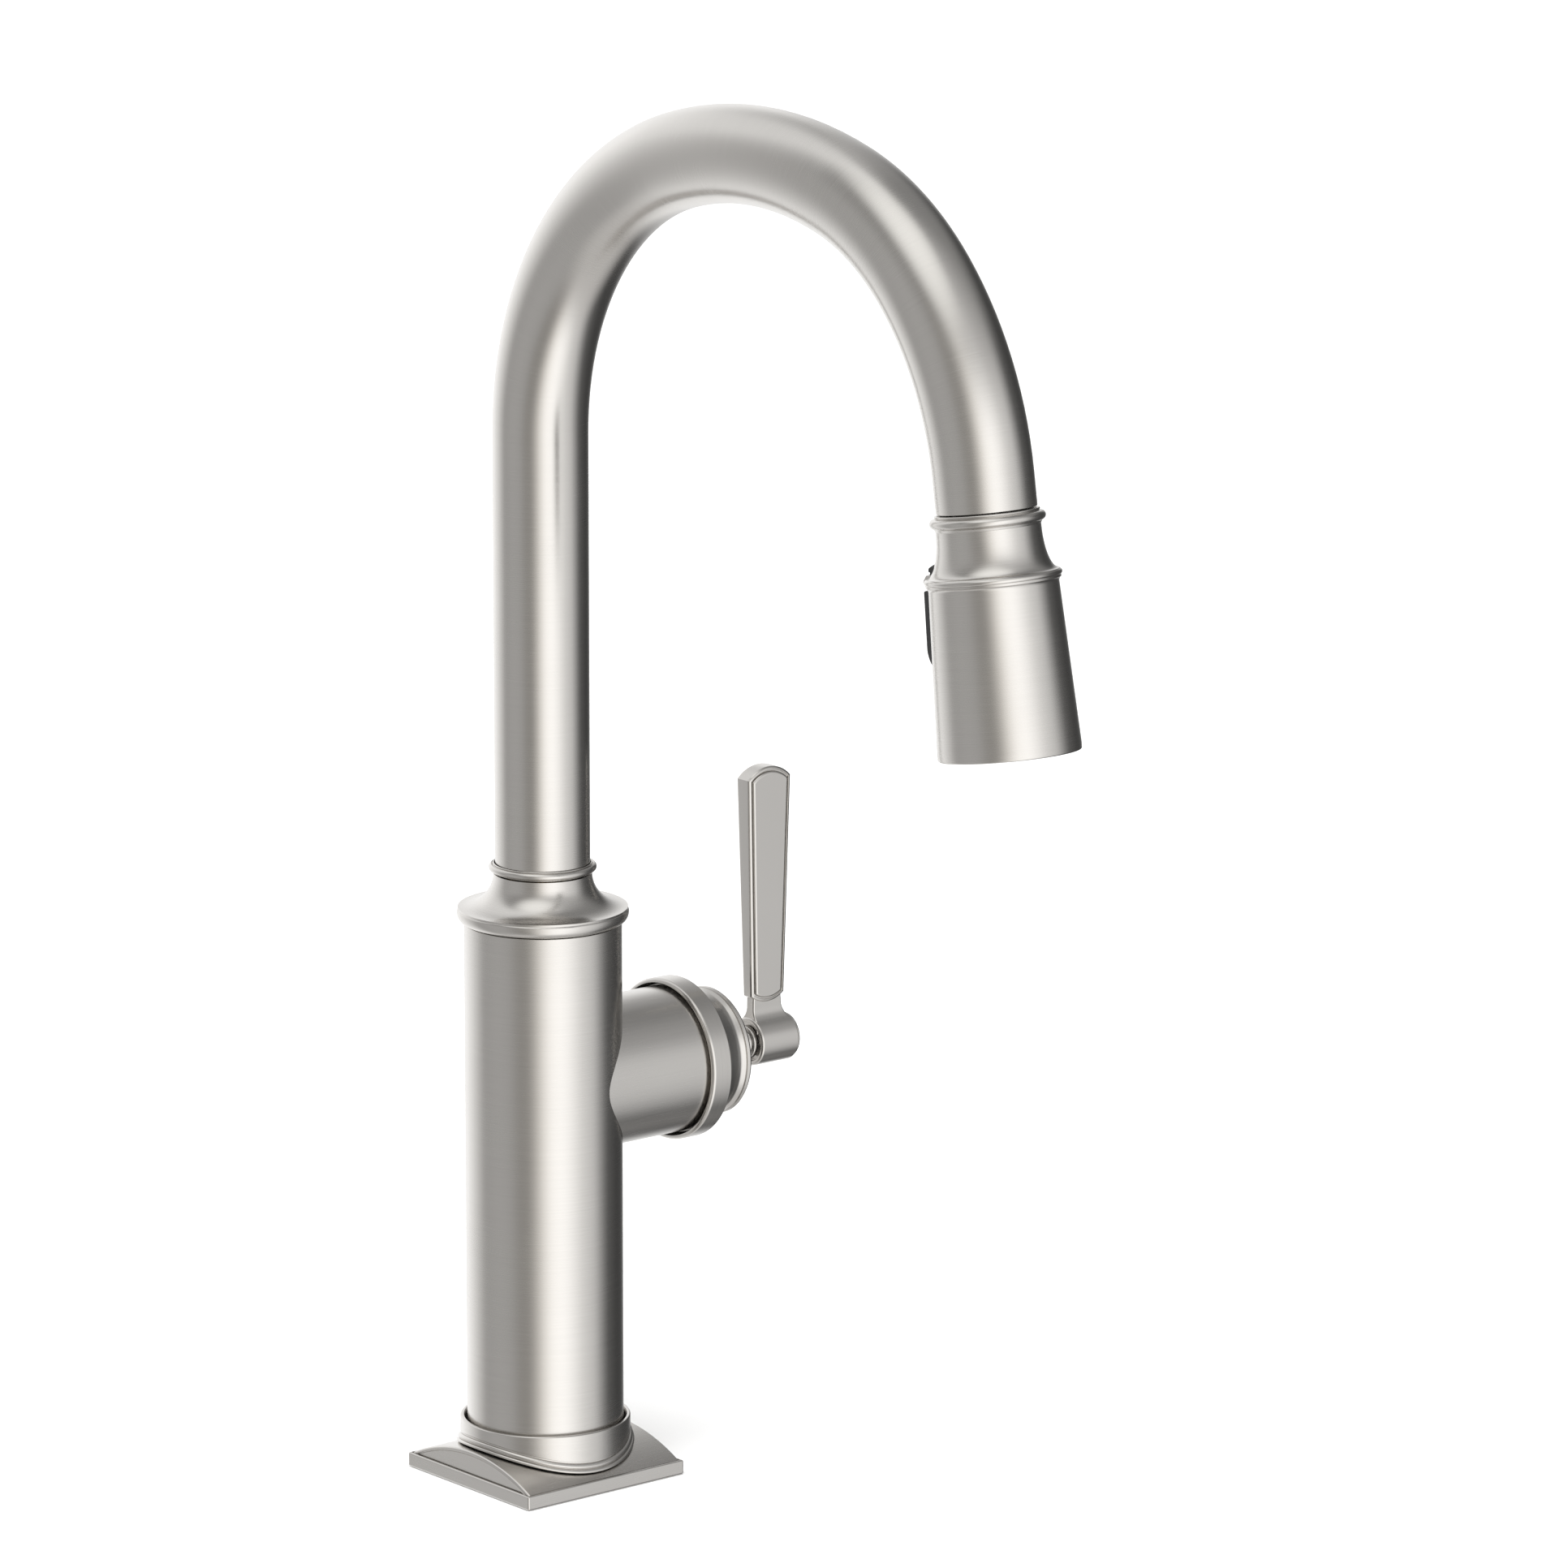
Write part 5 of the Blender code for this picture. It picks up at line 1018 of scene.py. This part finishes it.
# The same above head height, where the back and right fall away into shade.
UPPER_STUDIO = (
    (-180, 0.5, 0.1), (-150, 0.9, 0.0), (-114, 1.0, 0.0), (-90, 0.36, 0.2), (-62, 0.3, 0.5),
    (-30, 0.34, 0.8), (0, 0.65, 0.5), (40, 0.7, 0.1), (85, 0.48, 0.1), (120, 0.3, 0.1),
    (150, 0.28, 0.1),
    (180, 0.6, 0.1),
)
OVERHEAD_BOX = (-22, 68, 1.3)       # degrees round and up of its middle, and brightness
OVERHEAD_EDGES = (0.8, 1.0)       # cosines from its middle of its outer and inner edges
BELOW = (0.72, 0.71, 0.70, 1)       # light thrown back from straight below
UPPER_FROM, UPPER_TO = 0.26, 0.7    # sines of elevation between which the upper ring takes over


LAMP_PLACE = (-2.1, -2.8, 10.5)     # metres
LAMP_SIZE = 10.5
LAMP_POWER = 1110
FLOOR_REACH = 5                     # metres each way


def floor():
    verts = [(x * FLOOR_REACH, y * FLOOR_REACH, -0.0002) for x, y in ((-1, -1), (1, -1), (1, 1), (-1, 1))]
    plane = new_object("floor", verts, [[0, 1, 2, 3]])
    shader = Shader("floor", (0.97, 0.97, 0.97), 0.0, 0.9)
    shader.main.inputs["Specular IOR Level"].default_value = 0.0
    plane.data.materials.append(shader.material)
    plane.visible_glossy = False


def studio():
    """Soft light from all round, as a ring of soft boxes and flags under a bright top."""
    world = bpy.data.worlds.new("studio")
    bpy.context.scene.world = world
    world.use_nodes = True
    nodes, links = world.node_tree.nodes, world.node_tree.links
    background = nodes["Background"]
    where = nodes.new("ShaderNodeTexCoord").outputs["Generated"]

    def dotted(axis):
        made = nodes.new("ShaderNodeVectorMath")
        made.operation = "DOT_PRODUCT"
        links.new(where, made.inputs[0])
        made.inputs[1].default_value = axis
        return made.outputs["Value"]

    def calculated(operation, a, b=0.0):
        made = nodes.new("ShaderNodeMath")
        made.operation = operation
        for socket, value in zip(made.inputs, (a, b)):
            if isinstance(value, (int, float)):
                socket.default_value = value
            else:
                links.new(value, socket)
        return made.outputs["Value"]

    def blended(factor, a, b):
        made = nodes.new("ShaderNodeMix")
        made.data_type = "RGBA"
        for key, value in (("Factor", factor), ("A", a), ("B", b)):
            if isinstance(value, tuple):
                made.inputs[key].default_value = value
            else:
                links.new(value, made.inputs[key])
        return made.outputs["Result"]

    def stepped(value, low, high):
        made = nodes.new("ShaderNodeMapRange")
        made.interpolation_type = "SMOOTHSTEP"
        made.inputs["From Min"].default_value = low
        made.inputs["From Max"].default_value = high
        links.new(value, made.inputs["Value"])
        return made.outputs["Result"]

    turn = calculated("ARCTAN2", dotted(CAMERA_RIGHT), dotted(TOWARDS_CAMERA))
    round_place = calculated("MULTIPLY_ADD", turn, 1 / math.tau)
    round_place.node.inputs[2].default_value = 0.5
    peak = max(level for _, level, _ in STUDIO)

    def ring_of(stops):
        ramp = nodes.new("ShaderNodeValToRGB")
        links.new(round_place, ramp.inputs["Fac"])
        elements = ramp.color_ramp.elements
        elements.remove(elements[1])
        for degrees, level, warmth in stops:
            place = (degrees + 180) / 360
            element = elements.new(place) if place else elements[0]
            share = level / peak
            element.color = (share, share * (1 - 0.035 * warmth), share * (1 - 0.09 * warmth), 1)
        return ramp.outputs["Color"]

    height = dotted((0, 0, 1))
    bearing, rise, level = OVERHEAD_BOX
    bearing, rise = math.radians(bearing), math.radians(rise)
    flat = TOWARDS_CAMERA * math.cos(bearing) + CAMERA_RIGHT * math.sin(bearing)
    box_middle = flat * math.cos(rise) + Vector((0, 0, math.sin(rise)))
    above = blended(stepped(dotted(box_middle), *OVERHEAD_EDGES), ring_of(UPPER_STUDIO),
                    (level / peak, level / peak, 0.985 * level / peak, 1))
    upper = blended(stepped(height, UPPER_FROM, UPPER_TO), ring_of(STUDIO), above)
    below = tuple(c / peak for c in BELOW[:3]) + (1,)
    around = blended(stepped(calculated("MULTIPLY", height, -1.0), 0.72, 0.97), upper, below)
    links.new(around, background.inputs["Color"])
    background.inputs["Strength"].default_value = peak
    plain = nodes.new("ShaderNodeBackground")
    plain.inputs["Color"].default_value = (1, 1, 1, 1)
    path = nodes.new("ShaderNodeLightPath")
    mix = nodes.new("ShaderNodeMixShader")
    links.new(path.outputs["Is Camera Ray"], mix.inputs["Fac"])
    links.new(background.outputs["Background"], mix.inputs[1])
    links.new(plain.outputs["Background"], mix.inputs[2])
    links.new(mix.outputs["Shader"], nodes["World Output"].inputs["Surface"])


def overhead_light():
    data = bpy.data.lights.new("overhead", "AREA")
    data.shape = "DISK"
    data.size = LAMP_SIZE
    data.energy = LAMP_POWER
    lamp = bpy.data.objects.new("overhead", data)
    lamp.location = LAMP_PLACE
    lamp.rotation_euler = (-lamp.location).to_track_quat("-Z", "Y").to_euler()
    lamp.visible_glossy = False
    bpy.context.scene.collection.objects.link(lamp)


def camera():
    data = bpy.data.cameras.new("camera")
    data.sensor_fit = "HORIZONTAL"
    data.sensor_width = 36
    data.lens = CAMERA_LENS
    data.clip_end = 60
    obj = bpy.data.objects.new("camera", data)
    bpy.context.scene.collection.objects.link(obj)
    back = -CAMERA_FORWARD.normalized()
    right = Vector((0, 0, 1)).cross(back).normalized()
    turned = Matrix((right, back.cross(right), back)).transposed().to_4x4()
    obj.matrix_world = (Matrix.Translation(CAMERA_PLACE) @ turned
                        @ Matrix.Rotation(CAMERA_ROLL, 4, "Z"))
    bpy.context.scene.camera = obj


def colour_management():
    view = bpy.context.scene.view_settings
    view.view_transform = "Standard"
    view.look = "None"


camera()
base_plate()
base_ring()
body_shell()
top_collar()
spout_ring()
spout_tube()
dock_pieces()
head_collar()
head_shell()
spray_button()
face_pieces()
hose_stretch()
hub_pieces()
stem_pieces()
lever_handle()
lever_end_cap()
floor()
studio()
overhead_light()
colour_management()

bpy.context.view_layer.update()
